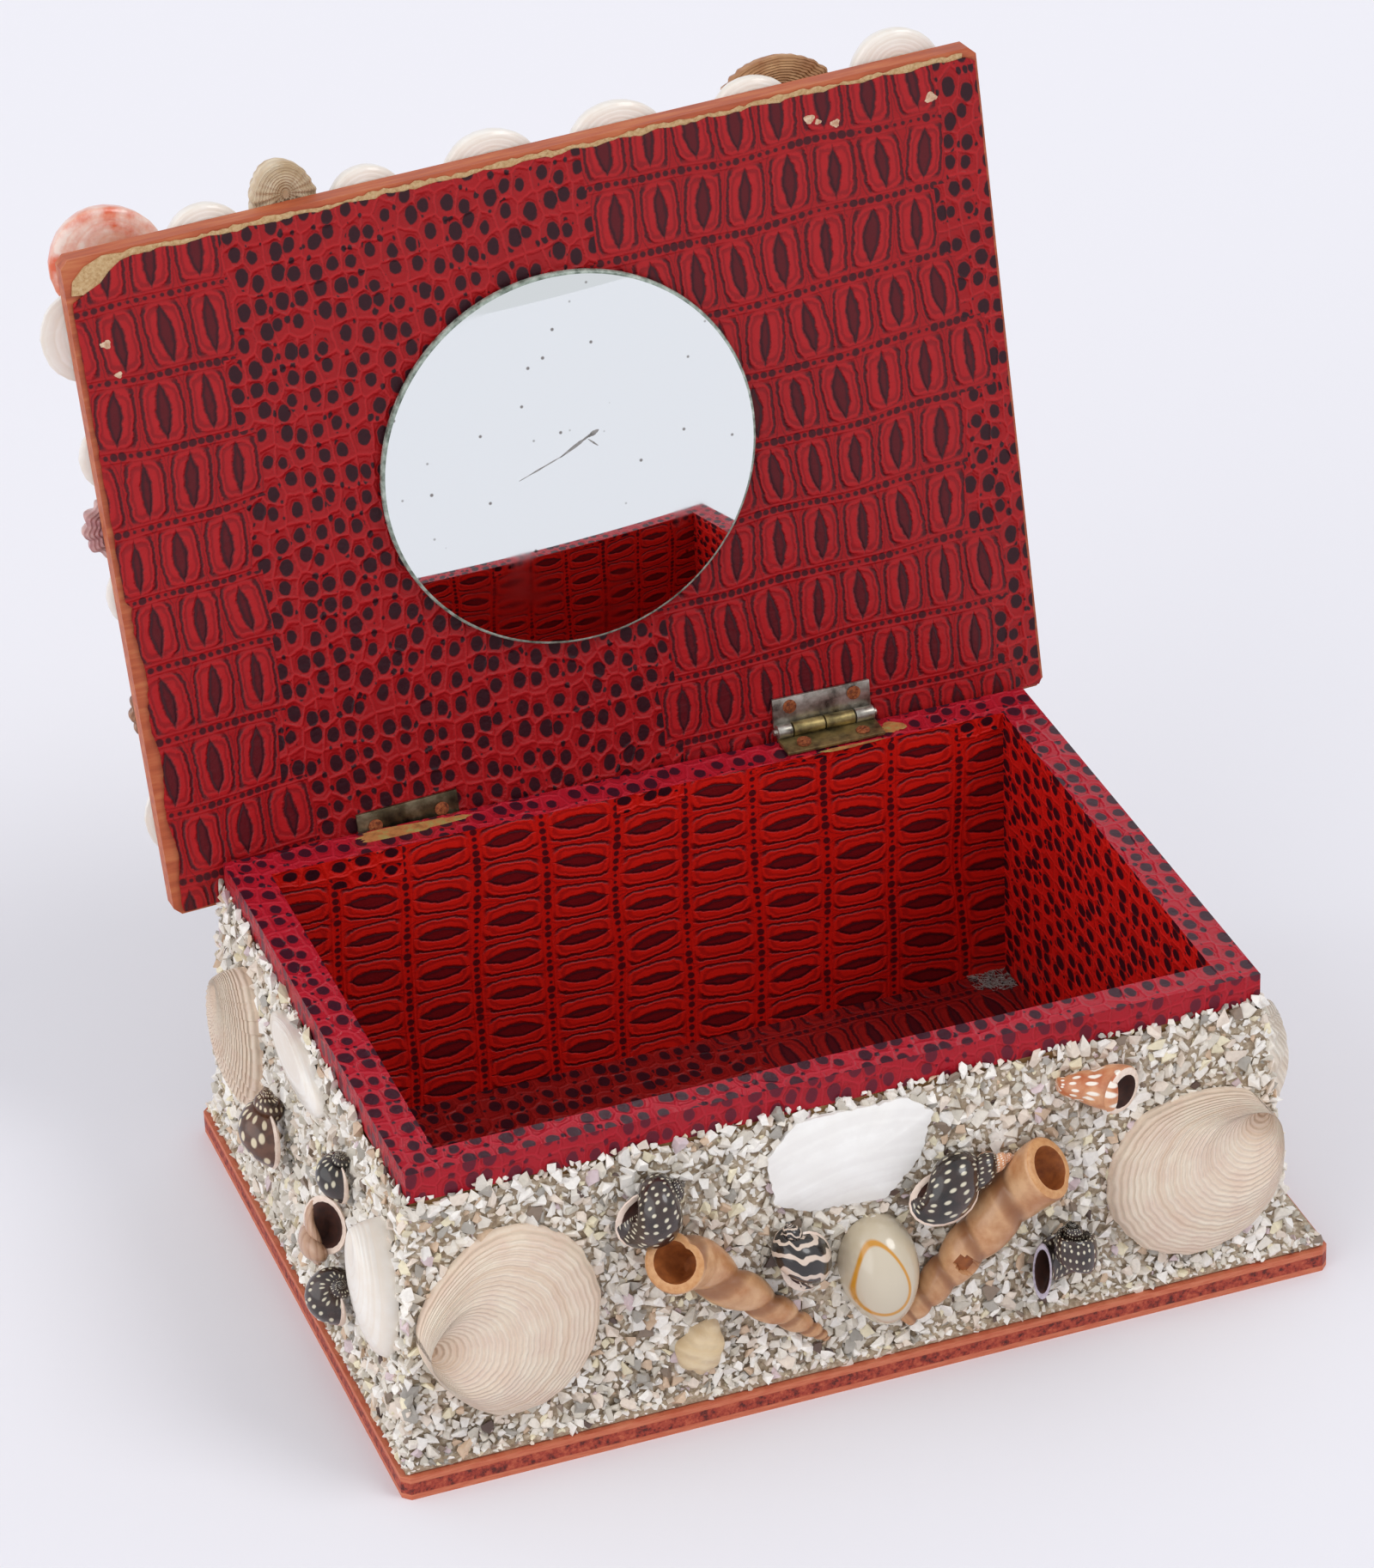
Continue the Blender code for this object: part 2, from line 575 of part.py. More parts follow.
def knuckle_spans(centre_x, owner):
    """The stretches of the barrel, from and to along X, that belong to one leaf."""
    spans = []
    start = centre_x - HINGE_WIDTH / 2
    for share, leaf in HINGE_KNUCKLES:
        end = start + share * HINGE_WIDTH
        if leaf == owner:
            spans.append((start + FIT / 2, end - FIT / 2))
        start = end
    return spans


def leaf_solid(name, centre_x, owner):
    """One leaf in its own flat frame: the pin lies on X, and the plate runs towards -Y below it."""
    under = -(HINGE_BARREL + HINGE_LEAF / 2)
    near = -(HINGE_BARREL + FIT)
    size = (HINGE_WIDTH, HINGE_LEAF_LENGTH, HINGE_LEAF)
    solids = [block(size, (centre_x, near - HINGE_LEAF_LENGTH / 2, under + HINGE_LEAF / 2))]
    for x_from, x_to in knuckle_spans(centre_x, owner):
        solids.append(cylinder_x(HINGE_BARREL, x_from, x_to, 0, 0))
        reach = (x_to - x_from, HINGE_BARREL + FIT + 1.0 * MM, HINGE_LEAF)
        middle = ((x_from + x_to) / 2, -reach[1] / 2, under + HINGE_LEAF / 2)
        solids.append(block(reach, middle))
    brass = material("old brass", OLD_BRASS, 0.4, 0.9)
    leaf = join(name, solids, brass)
    bore_from, bore_to = centre_x - HINGE_WIDTH, centre_x + HINGE_WIDTH
    bore = add_object(f"{name}_bore", cylinder_x(HINGE_PIN + FIT, bore_from, bore_to, 0, 0), brass)
    bore.hide_render = True
    bore.display_type = "WIRE"
    cut = leaf.modifiers.new("pin bore", "BOOLEAN")
    cut.operation = "DIFFERENCE"
    cut.object = bore
    return leaf


def place_joined(body, matrix):
    """Moves a body, and with it the shapes that its Booleans use."""
    others = [modifier.object for modifier in body.modifiers]
    for obj in (body, *others):
        obj.matrix_world = matrix


def hinge_axis():
    """The axis of the lid, at the middle of the box."""
    return Matrix.Translation((BOX_SHIFT.x, AXIS_Y, AXIS_HEIGHT))


def make_hinge_on_box():
    """The right hinge's leaf on the rim, and its pin."""
    brass = material("old brass", OLD_BRASS, 0.4, 0.9)
    place_joined(leaf_solid("hinge_right_box_leaf", HINGE_RIGHT, "box"), hinge_axis())
    end = HINGE_WIDTH / 2 + 2 * FIT
    pin = cylinder_x(HINGE_PIN, HINGE_RIGHT - end, HINGE_RIGHT + end, 0, 0, sides=10)
    add_object("hinge_right_pin", pin, brass, hinge_axis(), smooth=40)


def make_hinges_on_lid():
    """The right hinge's leaf on the lid, and the plain plate that is left of the left hinge."""
    brass = material("old brass", OLD_BRASS, 0.4, 0.9)
    # The lid's leaf is the rim's turned over, and it stands up from the rim by the angle of the lid.
    stand = Matrix.Rotation(-radians(LID_OPEN), 4, "X") @ Matrix.Diagonal((1, 1, -1, 1))
    place_joined(leaf_solid("hinge_right_lid_leaf", HINGE_RIGHT, "lid"), hinge_axis() @ stand)
    depth = 2 * FIT + PAPER + HINGE_LEAF / 2
    left = block((HINGE_WIDTH, HINGE_LEFT_LENGTH, HINGE_LEAF), (0, -HINGE_LEFT_LENGTH / 2, 0))
    add_object("hinge_left_lid_leaf", left, brass, on_lid(HINGE_LEFT, HINGE_LEFT_TOP, depth))


def make_lid_bed():
    """A thin bed of crushed shell on the lid's outer face, in which its shells sit."""
    x = LID_WIDTH / 2 - LID_BED_MARGIN
    low, high = -LID_BEHIND_HINGE + LID_BED_MARGIN, LID_TOP - LID_BED_MARGIN
    outer = -LID_THICKNESS - FIT
    steps = [(0.0, outer), (0.0, outer - LID_BED * 0.6), (1.5 * MM, outer - LID_BED)]
    rings = [rect(-x + s, x - s, low + s, high - s, z) for s, z in steps]
    add_object("lid_crushed_shell_bed", grid_solid(rings), material("crushed shell", CRUSHED_SHELL, 0.7), on_lid())


def lid_shell_place(x, y, turn, lift=0.0):
    """A seat on the outer side of the lid; x is as seen from inside the lid, in millimetres."""
    depth = -(LID_THICKNESS + LID_BED + 2 * FIT + lift * MM)
    return on_lid(x * MM, y * MM - (AXIS_HEIGHT - RIM_HEIGHT), depth, radians(turn), behind=True)


def make_lid_edge_shells():
    """The shells that show past the lid's free edge and its left edge, each as its own piece."""
    white = material("white shell", WHITE_SHELL, 0.35)
    cream = material("cream shell", CREAM_SHELL, 0.5)
    peach = material("peach shell", PEACH_SHELL, 0.5)
    tan = material("tan shell", TAN_SHELL, 0.4)
    # Name, look, x, y, width, height, dome, ribs, turn, and its lift where it lies on the others.
    shells = [
        ("clam_lid_corner", peach, -86.6, 134.6, 24.5, 23, 9.5, 0, 20, 7.6),
        ("clam_lid_edge_1", white, -67.4, 134.6, 18.4, 20, 7, 0, 0, 0),
        ("cockle_lid_edge", cream, -50.0, 139.4, 14.6, 21, 10.5, 7, 0, 0),
        ("clam_lid_edge_2", white, -33.0, 134.6, 17.8, 20, 7, 0, 0, 0),
        ("clam_lid_edge_3", white, -6.0, 135.4, 22, 21, 7, 0, 0, 0),
        ("clam_lid_edge_4", white, 21.5, 135.2, 22.5, 21, 7, 0, 0, 0),
        ("clam_lid_edge_5", white, 51.4, 136.2, 18, 16, 5, 0, 0, 0),
        ("scallop_lid", tan, 59.0, 132.0, 30, 27, 8, 11, 0, 5.8),
        ("clam_lid_edge_6", white, 83.8, 136.2, 21, 22, 7.5, 0, 0, 0),
        ("clam_lid_side_1", white, -94.6, 123.0, 20, 20, 7, 0, 90, 0),
        ("clam_lid_side_2", white, -93.0, 96.0, 15, 16, 6, 0, 90, 0),
        ("ribbed_shell_lid_side", peach, -96.2, 80.6, 13, 13.5, 7.5, 6, 90, 0),
        ("clam_lid_side_3", white, -92.4, 65.0, 15, 16, 6, 0, 90, 0),
        ("brown_shell_lid_side", tan, -94.0, 38.0, 13, 12, 7, 6, 90, 0),
        ("clam_lid_side_4", white, -90.6, 13.5, 19, 20, 7, 0, 90, 0),
    ]
    for name, look, x, y, width, height, dome, ribs, turn, lift in shells:
        segments = 3 * ribs if ribs else 16
        solid = valve(width * MM, height * MM, dome * MM, ribs=ribs, segments=segments, rings=2)
        add_object(name, solid, look, lid_shell_place(x, y, turn, lift), smooth=40)


def clam_row(name, places, size, look):
    """A row of clams that touch, as one body, joined flat and then seated on the lid."""
    solids = []
    for x, y, turn in places:
        clam = valve(size, size, 6.5 * MM, segments=12, rings=2)
        clam.transform(Matrix.Translation((-x * MM, y * MM, 0)) @ Matrix.Rotation(radians(turn), 4, "Z"))
        solids.append(clam)
    place_joined(join(name, solids, look, smooth=40), lid_shell_place(0.0, 0.0, 0.0))


def make_lid_plain_shells():
    """The rows and the middle group on the part of the lid that the picture hides."""
    white = material("white shell", WHITE_SHELL, 0.35)
    cream = material("cream shell", CREAM_SHELL, 0.5)
    pitch = 18.3
    clam_row("clam_row_lid_right", [(88.0, 24.0 + pitch * i, -84) for i in range(5)], 20.5 * MM, white)
    clam_row("clam_row_lid_hinge_side", [(-64.0 + pitch * i, 9.5, 174) for i in range(7)], 20.5 * MM, white)
    ring = []
    for i in range(6):
        a = 2 * pi * i / 6
        ring.append((13 + 18.2 * cos(a), 66 + 18.2 * sin(a), -math.degrees(a) + 84))
    clam_row("clam_ring_lid_middle", ring, 21.0 * MM, cream)


def make_lid():
    """Everything that turns with the lid, hung on an empty that lies on the hinge's axis."""
    before = set(bpy.data.objects)
    make_lid_board()
    make_lid_lining()
    make_mirror()
    make_hinges_on_lid()
    make_lid_bed()
    make_lid_edge_shells()
    make_lid_plain_shells()
    axis = bpy.data.objects.new("lid_axis", None)
    axis.matrix_world = hinge_axis()
    bpy.context.scene.collection.objects.link(axis)
    for obj in set(bpy.data.objects) - before - {axis}:
        obj.parent = axis
        obj.matrix_parent_inverse = hinge_axis().inverted()


def main():
    """Clears the scene and builds every piece."""
    for obj in list(bpy.data.objects):
        bpy.data.objects.remove(obj, do_unlink=True)
    make_base()
    make_walls()
    make_lining()
    make_coat()
    make_front_shells()
    make_left_shells()
    make_plain_side_shells()
    make_hinge_on_box()
    make_lid()


main()
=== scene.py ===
"""The looks of the shell box: its finishes, and its shells, grains, paper and hinges in full detail.

Metres, +Z up, front towards -Y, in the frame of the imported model. Sizes are written in millimetres
times MM. Each sub-assembly is a class with its sizes as fields, and each finish is a frozen dataclass.
"""

from __future__ import annotations

import json
import logging
import math
from collections.abc import Callable
from dataclasses import dataclass, field, replace
from enum import Enum
from functools import partial

import bmesh
import bpy
import numpy as np
from bpy.types import Material, Mesh, Node, NodeSocket, NodeTree, Object
from mathutils import Matrix, Vector

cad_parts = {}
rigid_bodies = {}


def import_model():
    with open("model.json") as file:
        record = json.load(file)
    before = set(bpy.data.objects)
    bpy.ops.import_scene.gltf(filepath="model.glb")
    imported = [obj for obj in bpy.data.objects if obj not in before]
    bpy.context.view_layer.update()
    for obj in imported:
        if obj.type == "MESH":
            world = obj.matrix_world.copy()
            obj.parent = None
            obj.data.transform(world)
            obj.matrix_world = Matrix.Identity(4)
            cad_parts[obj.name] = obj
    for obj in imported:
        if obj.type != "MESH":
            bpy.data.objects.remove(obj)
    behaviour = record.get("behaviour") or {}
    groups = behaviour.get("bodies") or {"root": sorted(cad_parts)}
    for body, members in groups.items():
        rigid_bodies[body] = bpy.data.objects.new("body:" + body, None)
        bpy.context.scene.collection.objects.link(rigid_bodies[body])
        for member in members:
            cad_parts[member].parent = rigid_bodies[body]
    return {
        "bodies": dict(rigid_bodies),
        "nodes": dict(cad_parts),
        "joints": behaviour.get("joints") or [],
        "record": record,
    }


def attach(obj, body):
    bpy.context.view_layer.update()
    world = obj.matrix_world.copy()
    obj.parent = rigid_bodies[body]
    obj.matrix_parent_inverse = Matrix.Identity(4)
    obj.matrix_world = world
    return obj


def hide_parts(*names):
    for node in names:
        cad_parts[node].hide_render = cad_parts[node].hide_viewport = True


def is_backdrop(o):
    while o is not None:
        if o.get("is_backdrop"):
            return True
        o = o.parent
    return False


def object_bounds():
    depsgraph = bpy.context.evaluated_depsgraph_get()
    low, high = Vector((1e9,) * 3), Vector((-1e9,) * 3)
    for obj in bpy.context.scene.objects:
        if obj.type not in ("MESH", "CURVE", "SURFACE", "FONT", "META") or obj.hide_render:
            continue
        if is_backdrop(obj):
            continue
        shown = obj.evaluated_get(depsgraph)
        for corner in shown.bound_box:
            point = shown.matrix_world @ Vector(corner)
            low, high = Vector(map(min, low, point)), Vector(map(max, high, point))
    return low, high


LOG = logging.getLogger("shell_box")
MM = 0.001

Points = np.ndarray
Random = np.random.Generator
Pair = tuple[float, float]
Triple = tuple[float, float, float]
Colour = tuple[float, float, float, float]
Stops = tuple[tuple[float, str], ...]
Corners = tuple[Vector, Vector]
Link = Node | NodeSocket
Marks = list[tuple[Link, str]]

# Settings that many nodes share: a soft step from none to all, and a pattern that is flat.
SOFT_STEP = {"interpolation_type": "SMOOTHSTEP"}
FLAT = {"voronoi_dimensions": "2D"}

# The way out of each wall, and the slots that the seashells go to.
OUTWARD = {"front": (0, -1), "back": (0, 1), "left": (-1, 0), "right": (1, 0)}
CREAM, WHITE, TAN, PEACH, DARK = "cream_shell", "white_shell", "tan_shell", "peach_shell", "dark_shell"


def linear(hex_value: str) -> Colour:
    """Turns an sRGB hex value into linear red, green, blue and an alpha of 1."""
    parts = [int(hex_value[i : i + 2], 16) / 255 for i in (1, 3, 5)]
    red, green, blue = (p / 12.92 if p <= 0.04045 else ((p + 0.055) / 1.055) ** 2.4 for p in parts)
    return red, green, blue, 1.0


def add_node(tree: NodeTree, kind: str, *inputs: object, stops: Stops = (), **settings: object) -> Node:
    """Adds a node with its settings and its links.

    Args:
        tree: The node tree that gets the node.
        kind: The node's type, without its ShaderNode prefix; an operation may follow it after a point.
        inputs: The inputs in order, or one dict of them by name or number. Each is a value, a socket, or
            a node whose first output is meant.
        stops: A colour ramp's places and their hex values.
        settings: The node's own properties.

    Returns:
        The new node.
    """
    kind, _, operation = kind.partition(".")
    node = tree.nodes.new("ShaderNode" + kind)
    if operation:
        node.operation = operation
    for name, value in settings.items():
        setattr(node, name, value)
    for number, (place, hex_value) in enumerate(stops):
        elements = node.color_ramp.elements
        element = elements[number] if number < len(elements) else elements.new(place)
        element.position, element.color = place, linear(hex_value)
    named = inputs[0] if inputs and isinstance(inputs[0], dict) else dict(enumerate(inputs))
    for key, value in named.items():
        if isinstance(value, Node):
            value = value.outputs[0]
        if isinstance(value, NodeSocket):
            tree.links.new(value, node.inputs[key])
        else:
            node.inputs[key].default_value = value
    return node


def new_material(name: str) -> tuple[Material, NodeTree, Node]:
    """Makes a node material.

    Returns:
        The material, its tree and its Principled shader.
    """
    made = bpy.data.materials.new(name)
    made.use_nodes = True
    return made, made.node_tree, made.node_tree.nodes["Principled BSDF"]


@dataclass(frozen=True)
class Seat:
    """A flat frame on the box or the lid: an origin, and its right, up and outward axes."""

    origin: Vector
    right: Vector
    up: Vector
    out: Vector

    def matrix(self) -> Matrix:
        """The matrix that takes a point of this frame to the part's frame."""
        rows = [(self.right[i], self.up[i], self.out[i], self.origin[i]) for i in range(3)]
        return Matrix((*rows, (0, 0, 0, 1)))

    def moved(self, x: float, y: float, z: float = 0.0, turn: float = 0.0) -> Seat:
        """The same frame moved along its own axes, then turned anticlockwise by an angle in degrees."""
        origin = self.origin + self.right * x + self.up * y + self.out * z
        c, s = math.cos(math.radians(turn)), math.sin(math.radians(turn))
        return Seat(origin, self.right * c + self.up * s, self.up * c - self.right * s, self.out)

    def place(self, points: Points) -> Points:
        """Takes points of this frame, as an array of rows, to the part's frame."""
        axes = np.array([self.right, self.up, self.out])
        return points @ axes + np.array(self.origin)


class MeshBuilder:
    """Gathers rows of points into one mesh with a UV map and a material number for each face."""

    def __init__(self) -> None:
        """Starts with nothing."""
        self.verts: list[Points] = []
        self.faces: list[tuple[int, ...]] = []
        self.corners: list[Points] = []
        self.looks: list[int] = []
        self.count = 0

    def add(self, points: Points) -> int:
        """Adds points, as rows of three, and returns the first one's number."""
        first = self.count
        self.verts.append(points.reshape(-1, 3))
        self.count += len(self.verts[-1])
        return first

    def grid(self, points: Points, uv: Points, looks: list[int] | None = None, capped: bool = True) -> None:
        """Adds rows of points that each close round.

        Args:
            points: Rows by columns by three, in metres.
            uv: Rows by columns plus one by two: the last column is the seam's far side.
            looks: The material number of each band between two rows.
            capped: Whether a fan closes the first and the last row.
        """
        rows, columns = points.shape[:2]
        first = self.add(points)
        for i in range(rows - 1):
            a, b = first + i * columns, first + (i + 1) * columns
            for j in range(columns):
                k = (j + 1) % columns
                self.faces.append((a + j, a + k, b + k, b + j))
                self.corners += [uv[i, j], uv[i, j + 1], uv[i + 1, j + 1], uv[i + 1, j]]
            self.looks += [looks[i] if looks else 0] * columns
        if not capped:
            return
        for i in (0, rows - 1):
            centre = self.add(points[i].mean(axis=0))
            a = first + i * columns
            for j in range(columns):
                self.faces.append((a + j, a + (j + 1) % columns, centre))
                self.corners += [uv[i, j], uv[i, j + 1], (uv[i, j] + uv[i, j + 1]) / 2]
            self.looks += [(looks[min(i, rows - 2)] if looks else 0)] * columns

    def outline_solid(self, outline: Points, place: Seat, low: float, high: float) -> None:
        """Adds a flat solid of an outline, in a seat's frame, with its place in millimetres as its UV."""
        count = len(outline)
        for z, order in ((high, 1), (low, -1)):
            first = self.add(place.place(np.column_stack([outline, np.full(count, z)])))
            self.faces.append(tuple(range(first, first + count))[::order])
            self.corners += list(outline[::order] / MM)
            self.looks.append(0)
        for j in range(count):
            k = (j + 1) % count
            self.faces.append((first - count + k, first - count + j, first + j, first + k))
            self.corners += [outline[k] / MM, outline[j] / MM, outline[j] / MM, outline[k] / MM]
            self.looks.append(0)

    def build(self, name: str, smooth: float | None = 50.0) -> Object:
        """Makes the object."""
        mesh = bpy.data.meshes.new(name)
        mesh.from_pydata(np.vstack(self.verts).tolist(), [], self.faces)
        layer = mesh.uv_layers.new(name="place")
        layer.data.foreach_set("uv", np.array(self.corners, np.float32).ravel())
        mesh.polygons.foreach_set("material_index", np.array(self.looks, np.int32))
        return finished_object(name, mesh, smooth)


def finished_object(name: str, mesh: Mesh, smooth: float | None = 50.0) -> Object:
    """Links a mesh as an object, with outward normals and a smoothing angle in degrees."""
    shape = bmesh.new()
    shape.from_mesh(mesh)
    bmesh.ops.recalc_face_normals(shape, faces=shape.faces)
    shape.to_mesh(mesh)
    shape.free()
    if smooth is not None:
        mesh.shade_smooth()
        mesh.set_sharp_from_angle(angle=math.radians(smooth))
    made = bpy.data.objects.new(name, mesh)
    bpy.context.scene.collection.objects.link(made)
    return made


def add_piece(
    piece: Object, body: str, slot: str, *looks: Material, replaces: tuple[str, ...] = ()
) -> Object:
    """Gives a piece its body and materials, and hides the nodes that it stands for."""
    if looks:
        numbers = [face.material_index for face in piece.data.polygons]
        piece.data.materials.clear()
        for look in looks:
            piece.data.materials.append(look)
        piece.data.polygons.foreach_set("material_index", numbers)
    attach(piece, body)
    if replaces:
        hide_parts(*replaces)
    LOG.info("%s rides on %s with %d faces", piece.name, body, len(piece.data.polygons))
    return piece


def kept_inside(piece: Object, low: Vector, high: Vector) -> None:
    """Moves a piece's mesh by as little as brings it inside a box."""
    points = np.array([vertex.co for vertex in piece.data.vertices])
    under = np.maximum(np.array(low) - points.min(axis=0), 0)
    over = np.minimum(np.array(high) - points.max(axis=0), 0)
    piece.data.transform(Matrix.Translation(Vector(under + over)))


def primitive(name: str, operator: Callable, seat: Seat, scale: Triple, **settings: object) -> Object:
    """Adds one of Blender's primitives in a seat's frame, with its place in its mesh.

    Args:
        name: The new object's name.
        operator: Blender's operator that adds it.
        seat: The frame that the primitive stands in.
        scale: Its size along the frame's axes, for a primitive of size one.
        settings: The operator's own settings.

    Returns:
        The object, at the origin.
    """
    bpy.ops.object.select_all(action="DESELECT")
    operator(location=(0, 0, 0), **settings)
    made = bpy.context.object
    made.name = name
    made.data.name = name
    made.data.transform(seat.matrix() @ Matrix.Diagonal((*scale, 1)))
    return made


def bevelled(piece: Object, width: float, segments: int = 2, smooth: float = 40.0) -> Object:
    """Rounds a piece's edges with a Bevel modifier, applies it and smooths the result."""
    bpy.ops.object.select_all(action="DESELECT")
    bpy.context.view_layer.objects.active = piece
    piece.select_set(True)
    bevel = piece.modifiers.new("worn edges", "BEVEL")
    bevel.width = width
    bevel.segments = segments
    bpy.ops.object.modifier_apply(modifier=bevel.name)
    piece.data.shade_smooth()
    piece.data.set_sharp_from_angle(angle=math.radians(smooth))
    return piece


def joined(name: str, pieces: list[Object]) -> Object:
    """Joins pieces into one object, with the first one's materials before the others'."""
    bpy.ops.object.select_all(action="DESELECT")
    for piece in pieces:
        piece.select_set(True)
    bpy.context.view_layer.objects.active = pieces[0]
    bpy.ops.object.join()
    pieces[0].name = name
    return pieces[0]


class Print(Enum):
    """Which stretches of the embossed paper carry long scales, and which carry round ones."""

    LID = (-67.0, 12.0, 91.0)
    BACK = (-500.0, -67.0, 500.0)
    FLOOR = (-500.0, 18.0, 500.0)
    SPOTS = (-500.0, 500.0, 600.0)


@dataclass(frozen=True)
class CrocodilePrint:
    """The pattern pressed and printed on the red paper: crocodile skin, in millimetres.

    Long scales stand in rows: a dark lens-shaped eye, a lobe at each side, a groove round them, and a
    chain of small dots between the rows. Elsewhere the skin has round dark scales in a net of ridges.
    """

    eye_half_width: float = 1.5
    eye_half_height: float = 6.0
    groove_x: float = 4.05
    groove_y: float = 7.05
    chain_pitch: float = 1.8
    spot_pitch: float = 4.8

    def group(self) -> NodeTree:
        """Builds the pattern once, as a group that every paper material uses.

        Returns:
            A group with the place in millimetres, the cell and row pitch and the three ends of the
            stretches as inputs, and how dark and how high each point is as outputs.
        """
        tree = bpy.data.node_groups.new("crocodile print", "ShaderNodeTree")
        tree.interface.new_socket("Place", in_out="INPUT", socket_type="NodeSocketVector")
        for name in ("Cell", "Row", "Left End", "Right Start", "Right End"):
            tree.interface.new_socket(name, in_out="INPUT", socket_type="NodeSocketFloat")
        for name in ("Ink", "Relief"):
            tree.interface.new_socket(name, in_out="OUTPUT", socket_type="NodeSocketFloat")
        source = tree.nodes.new("NodeGroupInput").outputs
        result = tree.nodes.new("NodeGroupOutput")
        add = partial(add_node, tree)

        # The skin isn't regular: a slow noise moves every place by up to about two millimetres.
        slow = add("TexNoise", {"Vector": source["Place"], "Scale": 0.03, "Detail": 1.0})
        pushed = add("VectorMath.MULTIPLY_ADD", slow.outputs["Color"], (4.4, 4.4, 0), source["Place"])
        quick = add("TexNoise", {"Vector": source["Place"], "Scale": 0.42, "Detail": 4.0, "Roughness": 0.6})
        rough = add("Math.SUBTRACT", quick, 0.5)
        place = add("SeparateXYZ", {0: pushed})
        u, v = place.outputs[0], place.outputs[1]

        # Rows of cells, each row shifted along by chance.
        rows = add("Math.DIVIDE", v, source["Row"])
        row_number = add("Math.FLOOR", rows)
        row_chance = add("TexWhiteNoise", {"W": row_number}, noise_dimensions="1D")
        start = add("Math.MULTIPLY", row_chance, source["Cell"])
        cells = add("Math.DIVIDE", add("Math.ADD", u, start), source["Cell"])
        cell_number = add("Math.FLOOR", cells)
        across = add("Math.MULTIPLY", add("Math.SUBTRACT", add("Math.FRACT", cells), 0.5), source["Cell"])
        along = add("Math.MULTIPLY", add("Math.SUBTRACT", add("Math.FRACT", rows), 0.5), source["Row"])

        cell_place = add("CombineXYZ", {0: cell_number, 1: row_number})
        long_ink, long_relief = self.long_scale(add, across, along, rough, cell_place)
        chain_ink, chain_relief = self.chain(add, u, rows, source["Row"])
        long_ink = add("Math.MAXIMUM", long_ink, chain_ink)
        long_relief = add("Math.ADD", long_relief, chain_relief)
        round_ink, round_relief = self.round_scales(add, pushed, quick)

        # Each whole cell is in one stretch or the other, so that no scale is cut.
        half_way = add("Math.MULTIPLY", add("Math.ADD", cell_number, 0.5), source["Cell"])
        middle = add("Math.SUBTRACT", half_way, start)
        judged = add("Math.ADD", middle, add("Math.MULTIPLY_ADD", row_chance, 6.0, -3.0))
        in_left = add("Math.LESS_THAN", judged, source["Left End"])
        past_start = add("Math.GREATER_THAN", judged, source["Right Start"])
        in_right = add("Math.MULTIPLY", past_start, add("Math.LESS_THAN", judged, source["Right End"]))
        long_here = add("Math.MAXIMUM", in_left, in_right)
        ink = add("Mix", {0: long_here, 2: round_ink, 3: long_ink}, data_type="FLOAT")
        relief = add("Mix", {0: long_here, 2: round_relief, 3: long_relief}, data_type="FLOAT")
        grainy = add("Math.MULTIPLY_ADD", rough, 0.8, relief)
        tree.links.new(ink.outputs[0], result.inputs["Ink"])
        tree.links.new(grainy.outputs[0], result.inputs["Relief"])
        return tree

    def long_scale(
        self, add: Callable, across: Link, along: Link, rough: Link, cell_place: Link
    ) -> tuple[Link, Link]:
        """Draws the long scale of a cell: its eye, the lobes beside it and the groove round them.

        Args:
            add: Adds a node to the group.
            across: How far to the right of the cell's middle a point is, in millimetres.
            along: How far above the cell's middle it is.
            rough: A fine unevenness about nought.
            cell_place: The cell's number and its row's number.

        Returns:
            How dark and how high each point is.
        """
        cell_chance = add("TexWhiteNoise", {"Vector": cell_place}, noise_dimensions="2D")
        chances = add("SeparateXYZ", {0: cell_chance.outputs["Color"]}).outputs
        lean = add("Math.MULTIPLY", add("Math.SUBTRACT", chances[0], 0.5), 0.22)
        leant = add("Math.MULTIPLY_ADD", along, lean, across)
        side = add("Math.MULTIPLY_ADD", rough, 1.3, add("Math.ABSOLUTE", leant))

        # The eye narrows to a point above and below.
        reach = add("Math.DIVIDE", along, self.eye_half_height)
        taper = add("Math.SUBTRACT", 1.0, add("Math.MULTIPLY", reach, reach))
        width = add("Math.MULTIPLY_ADD", chances[1], 0.7, self.eye_half_width - 0.35)
        lens = add("Math.SUBTRACT", add("Math.MULTIPLY", width, taper), side)
        eye = add("MapRange", lens, -0.3, 0.3, **SOFT_STEP)
        centre = add("Math.MULTIPLY_ADD", add("MapRange", lens, 0.3, 1.1, **SOFT_STEP), -0.2, 0.97)

        # The groove is a rounded rectangle round the eye and its lobes.
        x_part = add("Math.POWER", add("Math.DIVIDE", side, self.groove_x), 4.0)
        y_far = add("Math.MULTIPLY_ADD", rough, 2.0, add("Math.ABSOLUTE", along))
        y_part = add("Math.POWER", add("Math.DIVIDE", y_far, self.groove_y), 4.0)
        outline = add("Math.ADD", x_part, y_part)
        lobe = add("MapRange", outline, 1.0, 0.6, **SOFT_STEP)

